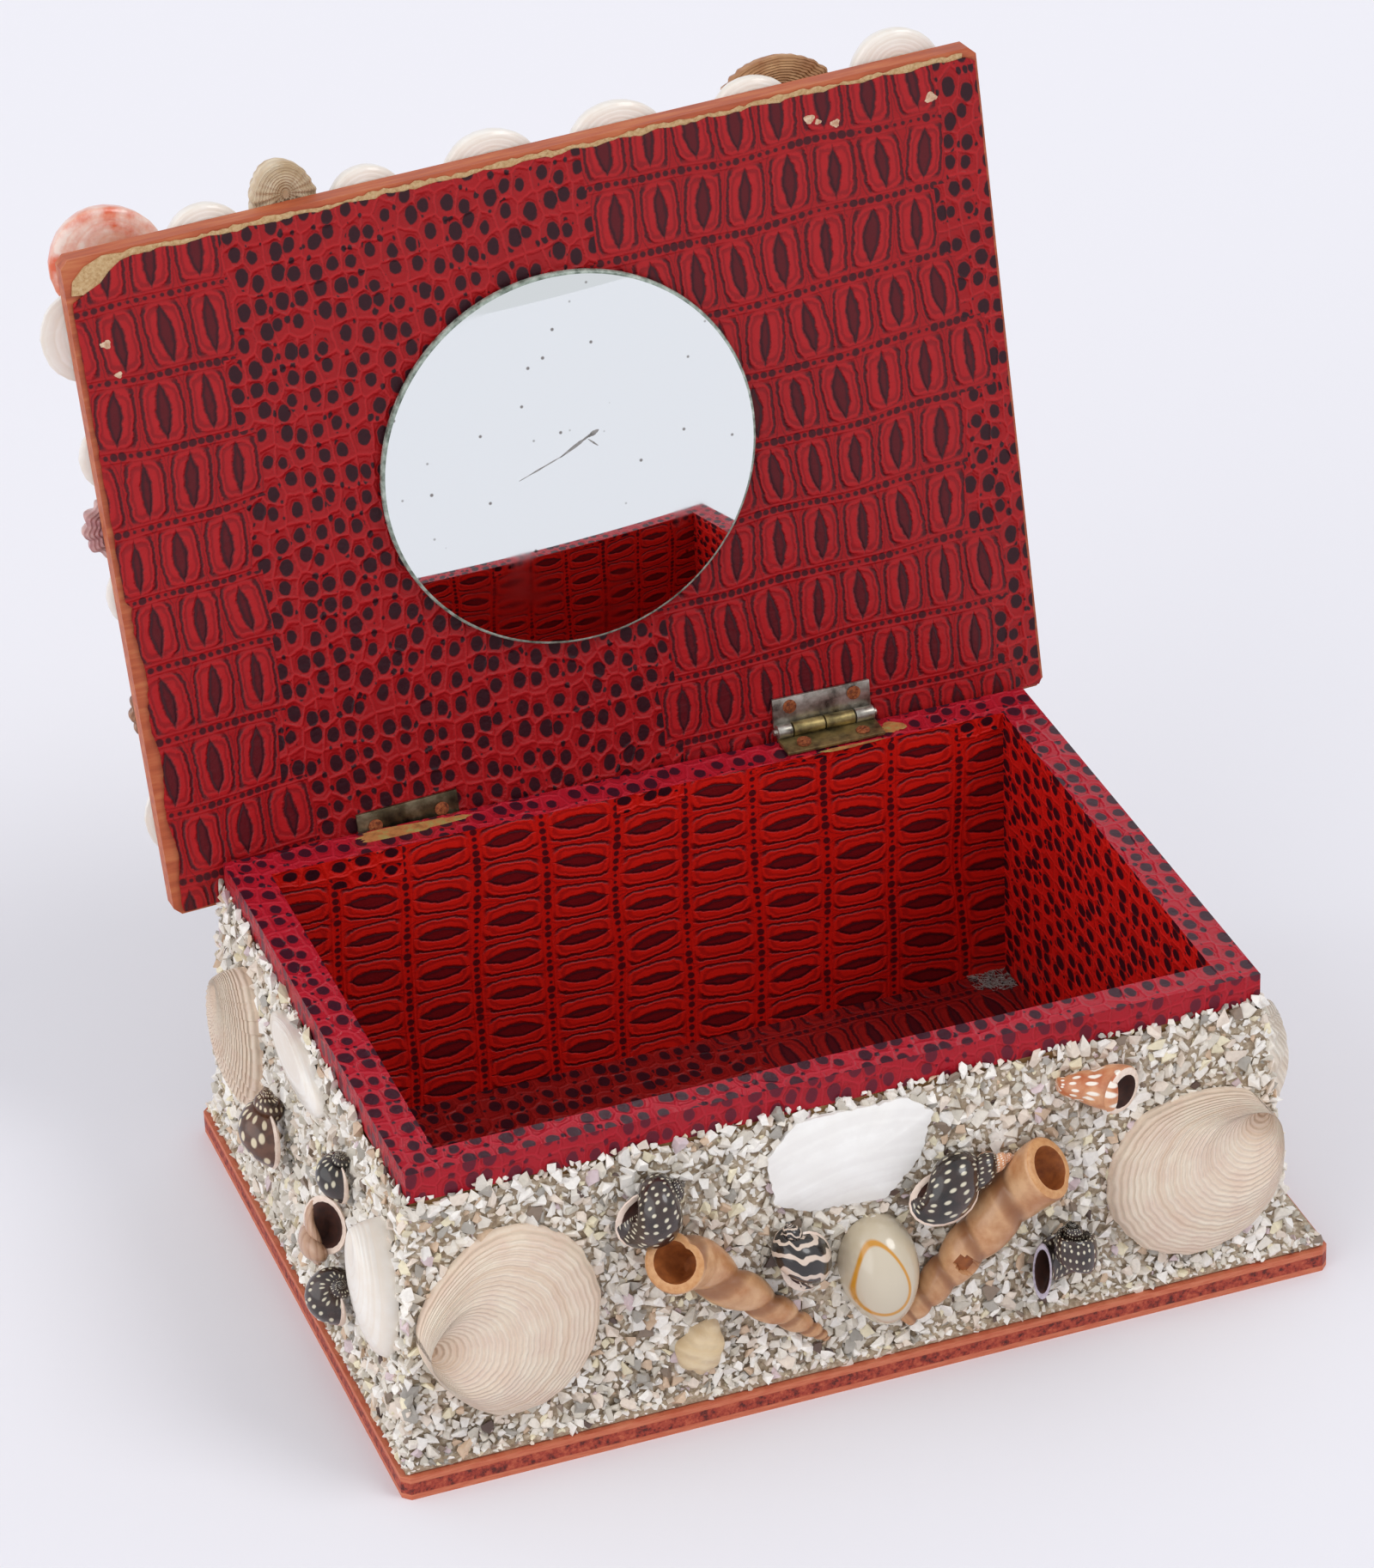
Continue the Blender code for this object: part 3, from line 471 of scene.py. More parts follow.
        # Lines that follow the eye's rim and the groove, each fading from its middle to its edge.
        lines = []
        for value, level, edge, middle in (
            (lens, 0.1, 0.45, 0.1), (outline, 1.0, 0.45, 0.12), (outline, 0.3, 0.16, 0.04),
            (outline, 2.1, 0.3, 0.05),
        ):
            away = add("Math.ABSOLUTE", add("Math.SUBTRACT", value, level))
            lines.append(add("MapRange", away, edge, middle, **SOFT_STEP))
        eye_rim, ring, fold, outer_fold = lines
        groove = add("Math.MULTIPLY", ring, add("MapRange", y_far, 6.9, 5.6, **SOFT_STEP))
        ink = add("Math.MULTIPLY", eye, centre)
        for part, darkness in ((groove, 0.85), (fold, 0.28), (outer_fold, 0.4)):
            ink = add("Math.MAXIMUM", ink, add("Math.MULTIPLY", part, darkness))
        relief = add("Math.MULTIPLY", lobe, 0.8)
        for part, depth in ((groove, 0.9), (eye, 0.55), (fold, 0.22), (eye_rim, 0.35)):
            relief = add("Math.SUBTRACT", relief, add("Math.MULTIPLY", part, depth))
        return ink, relief

    def chain(self, add: Callable, u: Link, rows: Link, row_pitch: Link) -> tuple[Link, Link]:
        """Draws the chain of dots along each border between rows, with a ridge at each side.

        Args:
            add: Adds a node to the group.
            u: The place along the row, in millimetres.
            rows: The place across the rows, counted in rows.
            row_pitch: The rows' pitch in millimetres.

        Returns:
            How dark and how high each point is.
        """
        border = add("Math.ROUND", rows)
        border_chance = add("TexWhiteNoise", {"W": add("Math.ADD", border, 0.37)}, noise_dimensions="1D")
        beads = add("Math.ADD", add("Math.DIVIDE", u, self.chain_pitch), border_chance)
        bead_place = add("CombineXYZ", {0: add("Math.FLOOR", beads), 1: border})
        bead_chance = add("TexWhiteNoise", {"Vector": bead_place}, noise_dimensions="2D")
        x = add("Math.MULTIPLY", add("Math.SUBTRACT", add("Math.FRACT", beads), 0.5), self.chain_pitch)
        y = add("Math.MULTIPLY", add("Math.SUBTRACT", rows, border), row_pitch)
        reach = add("Math.SQRT", add("Math.ADD", add("Math.MULTIPLY", x, x), add("Math.MULTIPLY", y, y)))
        size = add("Math.MULTIPLY_ADD", bead_chance, 0.6, 0.3)
        bead = add("MapRange", add("Math.SUBTRACT", reach, size), 0.22, -0.1, **SOFT_STEP)
        off_ridge = add("Math.ABSOLUTE", add("Math.SUBTRACT", add("Math.ABSOLUTE", y), 1.0))
        ridge = add("MapRange", off_ridge, 0.45, 0.0, **SOFT_STEP)
        return add("Math.MULTIPLY", bead, 0.9), add("Math.MULTIPLY", ridge, 0.5)

    def round_scales(self, add: Callable, pushed: Link, quick: Node) -> tuple[Link, Link]:
        """Draws the round scales: dark spots of two sizes, with ridges between the large ones.

        Args:
            add: Adds a node to the group.
            pushed: The uneven place, in millimetres.
            quick: The fine noise.

        Returns:
            How dark and how high each point is.
        """
        stretched = add("VectorMath.MULTIPLY", pushed, (1.15, 0.84, 0))
        wavy = add("VectorMath.MULTIPLY_ADD", quick.outputs["Color"], (1.1, 1.1, 0), stretched)
        large_grid = {"Vector": wavy, "Scale": 1 / self.spot_pitch, "Randomness": 0.55}
        small_grid = {"Vector": wavy, "Scale": 1.8 / self.spot_pitch, "Randomness": 1.0}
        large, small = add("TexVoronoi", large_grid, **FLAT), add("TexVoronoi", small_grid, **FLAT)
        edges = add("TexVoronoi", large_grid, feature="DISTANCE_TO_EDGE", **FLAT)
        large_chance = add("SeparateXYZ", {0: large.outputs["Color"]}).outputs[0]
        small_chance = add("SeparateXYZ", {0: small.outputs["Color"]}).outputs[1]
        large_size = add("Math.MULTIPLY_ADD", large_chance, 0.1, 0.26)
        small_size = add("Math.MULTIPLY_ADD", small_chance, 0.46, -0.14)
        off_large = add("Math.SUBTRACT", large.outputs["Distance"], large_size)
        off_small = add("Math.SUBTRACT", small.outputs["Distance"], small_size)
        spot = add("MapRange", off_large, 0.035, -0.045, **SOFT_STEP)
        room = add("MapRange", off_large, 0.06, 0.12, **SOFT_STEP)
        small_spot = add("MapRange", off_small, 0.05, -0.08, **SOFT_STEP)
        net = add("MapRange", edges.outputs["Distance"], 0.13, 0.0, **SOFT_STEP)
        around = add("MapRange", off_large, 0.14, 0.02, **SOFT_STEP)
        ink = add("Math.MAXIMUM", spot, add("Math.MULTIPLY", small_spot, room))
        return ink, add("Math.SUBTRACT", add("Math.MULTIPLY", net, 0.95), add("Math.MULTIPLY", around, 0.8))


@dataclass(frozen=True)
class EmbossedPaper:
    """Red paper, pressed and printed as crocodile skin: a thin waxy sheen over a slightly uneven red, and a
    painted highlight that lightens its raised parts.
    """

    name: str
    stretches: Print
    red: str = "#A60F15"
    deep_red: str = "#8E0A10"
    # A lighter red painted on the raised parts as highlight.
    ridge_highlight_red: str = "#BE2226"
    ink: str = "#22060F"
    ink_light: str = "#380C18"
    gloss: float = 0.28
    roughness: float = 0.42
    relief: float = 0.35 * MM
    cell: float = 9.7
    row: float = 16.2
    shift: Pair = (0.0, 0.0)
    turned: bool = False

    def material(self, pattern: NodeTree) -> Material:
        """Builds the paper's material.

        Args:
            pattern: The shared group of the crocodile print.

        Returns:
            The material; it reads the piece's own UV map, in millimetres.
        """
        made, tree, shader = new_material(self.name)
        add = partial(add_node, tree)
        turn = math.pi / 2 if self.turned else 0.0
        spot = add("UVMap", uv_map="place")
        moves = {"Vector": spot, "Location": (*self.shift, 0), "Rotation": (0, 0, turn)}
        moved = add("Mapping", moves, vector_type="POINT")
        left, start, end = self.stretches.value
        ends = {"Left End": left, "Right Start": start, "Right End": end}
        skin = add("Group", {"Place": moved, "Cell": self.cell, "Row": self.row, **ends}, node_tree=pattern)
        patches = add("TexNoise", {"Vector": moved, "Scale": 0.05, "Detail": 4.0, "Roughness": 0.6})
        fine = add("TexNoise", {"Vector": moved, "Scale": 1.6, "Detail": 3.0})
        red = add("Mix", {0: patches, 6: linear(self.deep_red), 7: linear(self.red)}, data_type="RGBA")
        # Painted highlight: where the relief is high, on the lobes, the ridges and the net, the red is mixed
        # towards a lighter red.
        high = add("MapRange", {0: skin.outputs["Relief"], "From Min": 0.35, "From Max": 1.1, "To Max": 0.55})
        lit = add("Mix", {0: high, 6: red.outputs[2], 7: linear(self.ridge_highlight_red)}, data_type="RGBA")
        inks = add("Mix", {0: fine, 6: linear(self.ink), 7: linear(self.ink_light)}, data_type="RGBA")
        layers = {0: skin.outputs["Ink"], 6: lit.outputs[2], 7: inks.outputs[2]}
        printed = add("Mix", layers, data_type="RGBA")
        tree.links.new(printed.outputs[2], shader.inputs["Base Color"])
        shine = add("MapRange", {0: fine, "To Min": self.roughness - 0.08, "To Max": self.roughness + 0.12})
        tree.links.new(shine.outputs[0], shader.inputs["Roughness"])
        shader.inputs["Specular IOR Level"].default_value = self.gloss
        bump = add("Bump", {"Height": skin.outputs["Relief"], "Distance": self.relief, "Strength": 0.65})
        tree.links.new(bump.outputs[0], shader.inputs["Normal"])
        return made


@dataclass(frozen=True)
class StainedPly:
    """Three-ply board, sawn and stained coral: the middle ply is end grain, which took the stain darker."""

    name: str = "coral stained three-ply, sawn"
    coral: str = "#BC5A3C"
    coral_pale: str = "#CF7C5A"
    end_grain: str = "#9C3220"
    end_grain_dark: str = "#4E110A"
    middle_from: float = 1.3 * MM
    middle_to: float = 4.0 * MM
    roughness: float = 0.6

    def material(self) -> Material:
        """Builds the board's material; its plies follow the height above the ground."""
        made, tree, shader = new_material(self.name)
        add = partial(add_node, tree)
        place = add("TexCoord").outputs["Object"]
        height = add("SeparateXYZ", {0: place}).outputs[2]
        streaks = add("Mapping", {"Vector": place, "Scale": (300, 300, 2600)})
        grain = add("TexNoise", {"Vector": streaks, "Scale": 1.0, "Detail": 4.0})
        coarse = add("TexNoise", {"Vector": place, "Scale": 1 / (1.6 * MM), "Detail": 5.0, "Roughness": 0.75})
        face = add("ValToRGB", {0: grain}, stops=((0.3, self.coral), (0.75, self.coral_pale)))
        darker = ((0.38, self.end_grain_dark), (0.5, self.end_grain), (0.66, self.coral))
        core = add("ValToRGB", {0: coarse}, stops=darker)
        above, below = (
            add("MapRange", {0: height, "From Min": edge - soft, "From Max": edge + soft})
            for edge, soft in ((self.middle_from, 0.1 * MM), (self.middle_to, -0.1 * MM))
        )
        middle = add("Math.MULTIPLY", above, below)
        mixed = add("Mix", {0: middle, 6: face, 7: core}, data_type="RGBA")
        tree.links.new(mixed.outputs[2], shader.inputs["Base Color"])
        shader.inputs["Roughness"].default_value = self.roughness
        bump = add("Bump", {"Height": coarse, "Distance": 0.35 * MM, "Strength": 0.7})
        tree.links.new(bump.outputs[0], shader.inputs["Normal"])
        return made


@dataclass(frozen=True)
class PlainFinish:
    """A finish of two or three tones that a noise mixes, with a bump at the same scale."""

    name: str
    tones: Stops
    grain: float
    roughness: float
    bump: float = 0.1 * MM
    metallic: float = 0.0
    stretch: Triple = (1.0, 1.0, 1.0)
    coat: float = 0.0

    def material(self) -> Material:
        """Builds the material; the noise's waves are as long as the grain, in millimetres."""
        made, tree, shader = new_material(self.name)
        add = partial(add_node, tree)
        place = add("TexCoord").outputs["Object"]
        scaled = add("Mapping", {"Vector": place, "Scale": self.stretch})
        waves = {"Vector": scaled, "Scale": 1 / (self.grain * MM), "Detail": 5.0, "Roughness": 0.6}
        noise = add("TexNoise", waves)
        tones = add("ValToRGB", {0: noise}, stops=self.tones)
        tree.links.new(tones.outputs[0], shader.inputs["Base Color"])
        shader.inputs["Metallic"].default_value = self.metallic
        shader.inputs["Coat Weight"].default_value = self.coat
        shine = add("MapRange", {0: noise, "To Min": self.roughness - 0.1, "To Max": self.roughness + 0.1})
        tree.links.new(shine.outputs[0], shader.inputs["Roughness"])
        bump = add("Bump", {"Height": noise, "Distance": self.bump, "Strength": 0.8})
        tree.links.new(bump.outputs[0], shader.inputs["Normal"])
        return made


@dataclass(frozen=True)
class GrainFinish:
    """Crushed shell: each grain has its own tone from its attribute, and a dull mother-of-pearl gloss."""

    name: str = "crushed seashell grains"
    attribute: str = "grain"
    roughness: float = 0.38

    def material(self) -> Material:
        """Builds the material from the tone that each grain carries."""
        made, tree, shader = new_material(self.name)
        add = partial(add_node, tree)
        tone = add("Attribute", attribute_name=self.attribute)
        place = add("TexCoord").outputs["Object"]
        bands = add("TexNoise", {"Vector": place, "Scale": 1 / (0.8 * MM), "Detail": 2.0})
        shade = add("MapRange", {0: bands, "To Min": 0.8, "To Max": 1.12})
        shaded = {0: 1.0, 6: tone.outputs["Color"], 7: shade.outputs[0]}
        dull = add("Mix", shaded, data_type="RGBA", blend_type="MULTIPLY")
        tree.links.new(dull.outputs[2], shader.inputs["Base Color"])
        shader.inputs["Roughness"].default_value = self.roughness
        bump = add("Bump", {"Height": bands, "Distance": 0.12 * MM, "Strength": 0.6})
        tree.links.new(bump.outputs[0], shader.inputs["Normal"])
        return made


class Marking(Enum):
    """How a seashell is marked."""

    GROWTH_LINES = "growth lines"
    RIBS = "ribs"
    WHORLS = "whorls"
    DOTS = "dots"
    ZIGZAG = "zigzag"
    RING = "ring"


@dataclass(frozen=True)
class ShellFinish:
    """A seashell's skin. Its UV map holds millimetres: round the shell, and along its growth."""

    name: str
    marking: Marking
    ground: str
    second: str
    mark: str
    line_pitch: float = 0.95
    dot_pitch: float = 2.2
    dot_size: float = 0.3
    ring: Pair = (4.9, 7.3)
    ring_width: float = 0.75
    roughness: float = 0.45
    relief: float = 0.2 * MM
    coat: float = 0.0

    def material(self) -> Material:
        """Builds the skin's material."""
        made, tree, shader = new_material(self.name)
        add = partial(add_node, tree)
        spot = add("UVMap", uv_map="place")
        place = add("TexCoord").outputs["Object"]
        cloud = add("TexNoise", {"Vector": place, "Scale": 1 / (6.0 * MM), "Detail": 4.0, "Roughness": 0.6})
        soft = add("MapRange", {0: cloud, "From Min": 0.35, "From Max": 0.65})
        clouded = {0: soft, 6: linear(self.ground), 7: linear(self.second)}
        ground = add("Mix", clouded, data_type="RGBA").outputs[2]
        kinds = {Marking.DOTS: self.dots, Marking.ZIGZAG: self.streaks, Marking.RING: self.golden_ring}
        height, marks = kinds.get(self.marking, self.growth)(add, spot)
        for share, tone in marks:
            ground = add("Mix", {0: share, 6: ground, 7: linear(tone)}, data_type="RGBA").outputs[2]
        tree.links.new(ground, shader.inputs["Base Color"])
        shader.inputs["Roughness"].default_value = self.roughness
        shader.inputs["Coat Weight"].default_value = self.coat
        bump = add("Bump", {"Height": height or cloud, "Distance": self.relief, "Strength": 0.8})
        tree.links.new(bump.outputs[0], shader.inputs["Normal"])
        return made

    def growth(self, add: Callable, spot: Node) -> tuple[Link, Marks]:
        """Draws the lines of growth, broader bands under them, and a deeper tone round the worn beak.

        Args:
            add: Adds a node to the material.
            spot: The place on the shell, in millimetres.

        Returns:
            The relief, and the shares of the tones that are laid over the ground.
        """
        whorls = self.marking is Marking.WHORLS
        along = add("SeparateXYZ", {0: spot}).outputs[1]
        wobble = add("TexNoise", {"Vector": spot, "Scale": 0.35, "Detail": 3.0})
        uneven = add("Math.MULTIPLY_ADD", wobble, self.line_pitch * (0.15 if whorls else 0.6), along)
        height = add("Math.SINE", add("Math.MULTIPLY", uneven, math.tau / self.line_pitch))
        bands = add("TexNoise", {"W": along, "Scale": 0.33, "Detail": 3.0}, noise_dimensions="1D")
        band = add("MapRange", {0: bands, "From Min": 0.45, "From Max": 0.7, "To Max": 0.4})
        old = add("MapRange", {0: along, "From Min": 9.0, "From Max": 1.5, "To Max": 0.55})
        deep = 0.8 if whorls else 0.3
        line = add("MapRange", {0: height, "From Min": -0.4, "From Max": -1.0, "To Max": deep})
        return height, [(band, self.mark), (old, self.mark), (line, self.mark)]

    def dots(self, add: Callable, spot: Node) -> tuple[Link, Marks]:
        """Draws raised dots; the arguments and results are those of growth."""
        grid = {"Vector": spot, "Scale": 1 / self.dot_pitch, "Randomness": 0.45}
        away = add("TexVoronoi", grid, **FLAT).outputs["Distance"]
        edges = {"From Min": self.dot_size + 0.05, "From Max": self.dot_size - 0.05}
        dot = add("MapRange", {0: away, **edges})
        return dot, [(dot, self.mark)]

    def streaks(self, add: Callable, spot: Node) -> tuple[None, Marks]:
        """Draws zigzag streaks, which have no relief of their own."""
        saw = add("TexWave", {"Vector": spot, "Scale": 0.13, "Distortion": 9.0, "Detail": 2.0})
        streak = add("MapRange", {0: saw.outputs["Fac"], "From Min": 0.66, "From Max": 0.8})
        return None, [(streak, self.mark)]

    def golden_ring(self, add: Callable, spot: Node) -> tuple[None, Marks]:
        """Draws a ring that is narrower at the top and sits a little up and to the left of the middle."""
        across, along = add("SeparateXYZ", {0: spot}).outputs[:2]
        half_width, half_height = self.ring
        up = add("Math.MULTIPLY_ADD", along, 1 / half_height, -2.0 / half_height)
        aside = add("Math.MULTIPLY_ADD", across, 1 / half_width, 2.0 / half_width)
        narrowed = add("Math.MULTIPLY", aside, add("Math.MULTIPLY_ADD", up, 0.28, 1.0))
        squares = [add("Math.MULTIPLY", side, side) for side in (up, narrowed)]
        reach = add("Math.SQRT", add("Math.ADD", *squares))
        near = add("Math.ABSOLUTE", add("Math.SUBTRACT", reach, 1.0))
        share = self.ring_width / half_width / 2
        line = add("MapRange", {0: near, "From Min": share * 1.7, "From Max": share * 0.7})
        inside = add("MapRange", {0: reach, "From Min": 1.0, "From Max": 0.8})
        return None, [(inside, self.second), (line, self.mark)]


@dataclass(frozen=True)
class Plan:
    """The main sizes that the detailed pieces share, in millimetres."""

    base: Triple = (201.7, 142.0, 5.3)
    box: Triple = (180.0, 123.6, 71.6)
    shift: Pair = (-3.3, -1.5)
    lid: Triple = (198.6, 147.4, 4.8)
    lid_low: float = -8.4
    lid_top: float = 139.0
    lid_shift: float = -2.9
    lid_lean: float = 7.0
    lid_skew: float = 2.7
    axis: Pair = (59.894, 74.6)
    axis_off_wood: float = 3.0
    coat_foot: Pair = (5.5, 7.6)
    coat_top: Pair = (1.2, 65.4)
    fit: float = 0.3

    def coat_offset(self, height: float) -> float:
        """How far the coat's face stands off the wall at a height."""
        share = (height - self.coat_foot[1]) / (self.coat_top[1] - self.coat_foot[1])
        return self.coat_foot[0] + (self.coat_top[0] - self.coat_foot[0]) * share

    def wall(self, side: str, along: float, height: float, turn: float = 0.0, lift: float = 0.0) -> Seat:
        """The frame of a place on a wall's coat.

        Args:
            side: front, back, left or right.
            along: How far the place is from the wall's middle, to the right as seen from outside.
            height: Its height above the ground.
            turn: Degrees anticlockwise from upright.
            lift: How far it stands off the coat.

        Returns:
            The frame, with its third axis outward.
        """
        out = Vector((*OUTWARD[side], 0))
        right = Vector((0, 0, 1)).cross(out)
        lean = math.atan2(self.coat_foot[0] - self.coat_top[0], self.coat_top[1] - self.coat_foot[1])
        up = Vector((0, 0, math.cos(lean))) - out * math.sin(lean)
        half = self.box[1] / 2 if side in ("front", "back") else self.box[0] / 2
        middle = Vector((*self.shift, 0)) + out * (half + self.coat_offset(height)) + Vector((0, 0, height))
        normal = right.cross(up)
        seat = Seat((middle + right * along + normal * (self.fit + lift)) * MM, right, up, normal)
        return seat.moved(0, 0, 0, turn)

    def lid_seat(self, x: float = 0.0, y: float = 0.0, depth: float = 0.0) -> Seat:
        """The frame of a place on the open lid's inner face: x along it, y up from the hinge's axis."""
        lean, skew = math.radians(self.lid_lean), math.radians(self.lid_skew)
        up = Vector((0, math.sin(lean), math.cos(lean)))
        out = Vector((0, -math.cos(lean), math.sin(lean)))
        right = Vector((1, 0, 0))
        turned_right = right * math.cos(skew) + up * math.sin(skew)
        turned_up = up * math.cos(skew) - right * math.sin(skew)
        origin = Vector((self.shift[0] + self.lid_shift, *self.axis)) - out * self.axis_off_wood
        return Seat(origin * MM, turned_right, turned_up, out).moved(x * MM, y * MM, depth * MM)

    def behind_lid(self, x: float, y: float, turn: float = 0.0, lift: float = 0.0) -> Seat:
        """The frame of a place on the lid's outer side: x as seen from inside, y from the rim's height."""
        seat = self.lid_seat(x, y - (self.axis[1] - self.box[2]), -(self.lid[2] + 2.0 + lift))
        return Seat(seat.origin, -seat.right, seat.up, -seat.out).moved(0, 0, 0, turn)


PLAN = Plan()


class Form:
    """A shell's shape, in its own frame: its back on the XY plane, in metres."""

    def add_to(self, mesh: MeshBuilder, seat: Seat) -> None:
        """Adds the shape to a mesh, in a seat's frame."""
        raise NotImplementedError


@dataclass(frozen=True)
class Valve(Form):
    """One valve of a clam, cockle or scallop, hollow side down, with its beak towards +Y.

    Every growth line is a smaller copy of the rim about the beak, and the ribs run out from the beak.
    """

    width: float
    height: float
    dome: float
    beak: float = 0.08
    ribs: int = 0
    rib_depth: float = 0.6
    lines: int = 12
    line_depth: float = 0.06
    fan: float = 0.34
    thickness: float = 0.9
    bulge: float = 0.0
    umbo: float = 0.8
    columns: int = 72
    rows: int = 40

    def add_to(self, mesh: MeshBuilder, seat: Seat) -> None:
        """Adds the valve's outer side, its rim and its hollow inner side."""
        columns = self.columns * (2 if self.ribs else 1)
        a = np.linspace(-math.pi, math.pi, columns, endpoint=False)
        x, y = np.sin(a), -np.cos(a)
        rim_x = self.width / 2 * np.sign(x) * np.abs(x) ** 0.94 * (1 - self.fan * np.clip(y, 0, 1) ** 1.5)
        rim_y = self.height / 2 * np.sign(y) * np.abs(y) ** 0.96
        beak_y = self.height * (0.5 - self.beak)
        angle = np.arctan2(rim_x, -(rim_y - beak_y))
        fade = (0.5 + 0.5 * np.cos(angle)) ** 0.8
        wave = np.cos(angle * self.ribs * math.tau / 2.5) * fade if self.ribs else np.zeros(columns)
        ragged = 1 + 0.008 * np.sin(a * 7 + 1) * np.sin(a * 17) - (0.045 if self.ribs else 0.0) * (1 - wave)
        t = np.concatenate([np.linspace(0.02, 1, self.rows), [1.0], np.linspace(0.96, 0.08, 12)])[:, None]
        outer = np.arange(len(t))[:, None] < self.rows
        px = t * rim_x * ragged
        py = beak_y + t * (rim_y - beak_y) * ragged
        swell = (1 - t**2.1).clip(0, 1) ** 0.6 * (self.umbo + (1 - self.umbo) * np.clip(t / 0.5, 0, 1) ** 0.8)
        base = self.dome * swell
        growth = self.line_depth * np.sin(t * math.tau * self.lines + 0.6 * np.sin(3 * a)) * t
        ribbed = self.rib_depth * wave * np.clip(t * 1.6, 0, 1)
        top = base + self.thickness + growth + ribbed
        under = np.maximum(base - self.thickness * 0.2 + ribbed * 0.6, 0.0)
        if self.bulge:
            under = -self.bulge * (1 - t**2.4) ** 0.7 - ribbed * 0.5
        pz = np.where(outer, top, under)
        limit = self.dome + 0.2
        pz = np.minimum(pz, limit + 0.15 * (pz - limit))
        points = np.stack([px, py, pz], axis=2) * MM
        turns = np.linspace(-math.pi, math.pi, columns + 1)
        u = turns[None, :] * self.width * 0.32 * np.clip(t, 0.2, 1)
        v = np.repeat(t * self.height * 0.8, columns + 1, axis=1)
        mesh.grid(seat.place(points), np.stack([u, v], axis=2))


@dataclass(frozen=True)
class Coil(Form):
    """A coiled shell lying down: its mouth is near the origin and its tip is at +X.

    A tube that grows by the same share in each turn winds round the X axis, as a snail grows.
    """

    length: float
    width: float
    depth: float
    whorls: float = 2.8
    growth: float = 2.9
    core: float = 0.3
    mouth: float = 178.0
    lip: float = 1.06
    pale_whorls: float = 0.0
    segments: int = 30
    around: int = 20

    def add_to(self, mesh: MeshBuilder, seat: Seat) -> None:
        """Adds the whorls, lip and inside of the mouth; materials are skin, lip, inside and pale tip."""
        count = int(self.whorls * self.segments)
        theta = np.linspace(-math.tau * self.whorls, 0, count)
        size = self.growth ** (theta / math.tau)
        looks = [3 if turn < -math.tau * (self.whorls - self.pale_whorls) else 0 for turn in theta[1:]]
        # The mouth: a lip that flares, and then the tube's inner side going back into the dark.
        steps, shares, inner = zip(
            (0.10, self.lip, 1), (0.16, self.lip * 0.97, 1), (0.12, 0.84, 1),
            (-0.05, 0.76, 2), (-0.35, 0.66, 2), (-0.8, 0.4, 2),
        )
        theta = np.append(theta, steps)
        size = np.append(size, self.growth ** (np.minimum(steps, 0) / math.tau))
        narrow = np.append(np.ones(count), shares)
        looks += inner
        phi = np.linspace(0, math.tau, self.around, endpoint=False)
        half_x = size * (1 - 1 / self.growth) / (1 + 1 / self.growth) * 1.3
        half_r = size * (1 - self.core)
        x = size[:, None] + (half_x * narrow)[:, None] * np.cos(phi)
        r = (size * self.core)[:, None] + (half_r * narrow)[:, None] * np.sin(phi)
        turn = theta[:, None] + math.radians(self.mouth)
        points = np.stack([-x, r * np.cos(turn), r * np.sin(turn)], axis=2)
        low, high = points.reshape(-1, 3).min(0), points.reshape(-1, 3).max(0)
        wanted = np.array([self.length, self.width, self.depth]) * MM
        points = (points - low) / (high - low) * wanted
        points[..., 1] -= wanted[1] / 2
        u = np.linspace(0, 1, self.around + 1)[None, :] * np.ones((len(theta), 1)) * self.width * 1.6
        v = (theta * self.width / 2)[:, None] * np.ones((1, self.around + 1))
        mesh.grid(seat.place(points), np.stack([u, v], axis=2), looks)


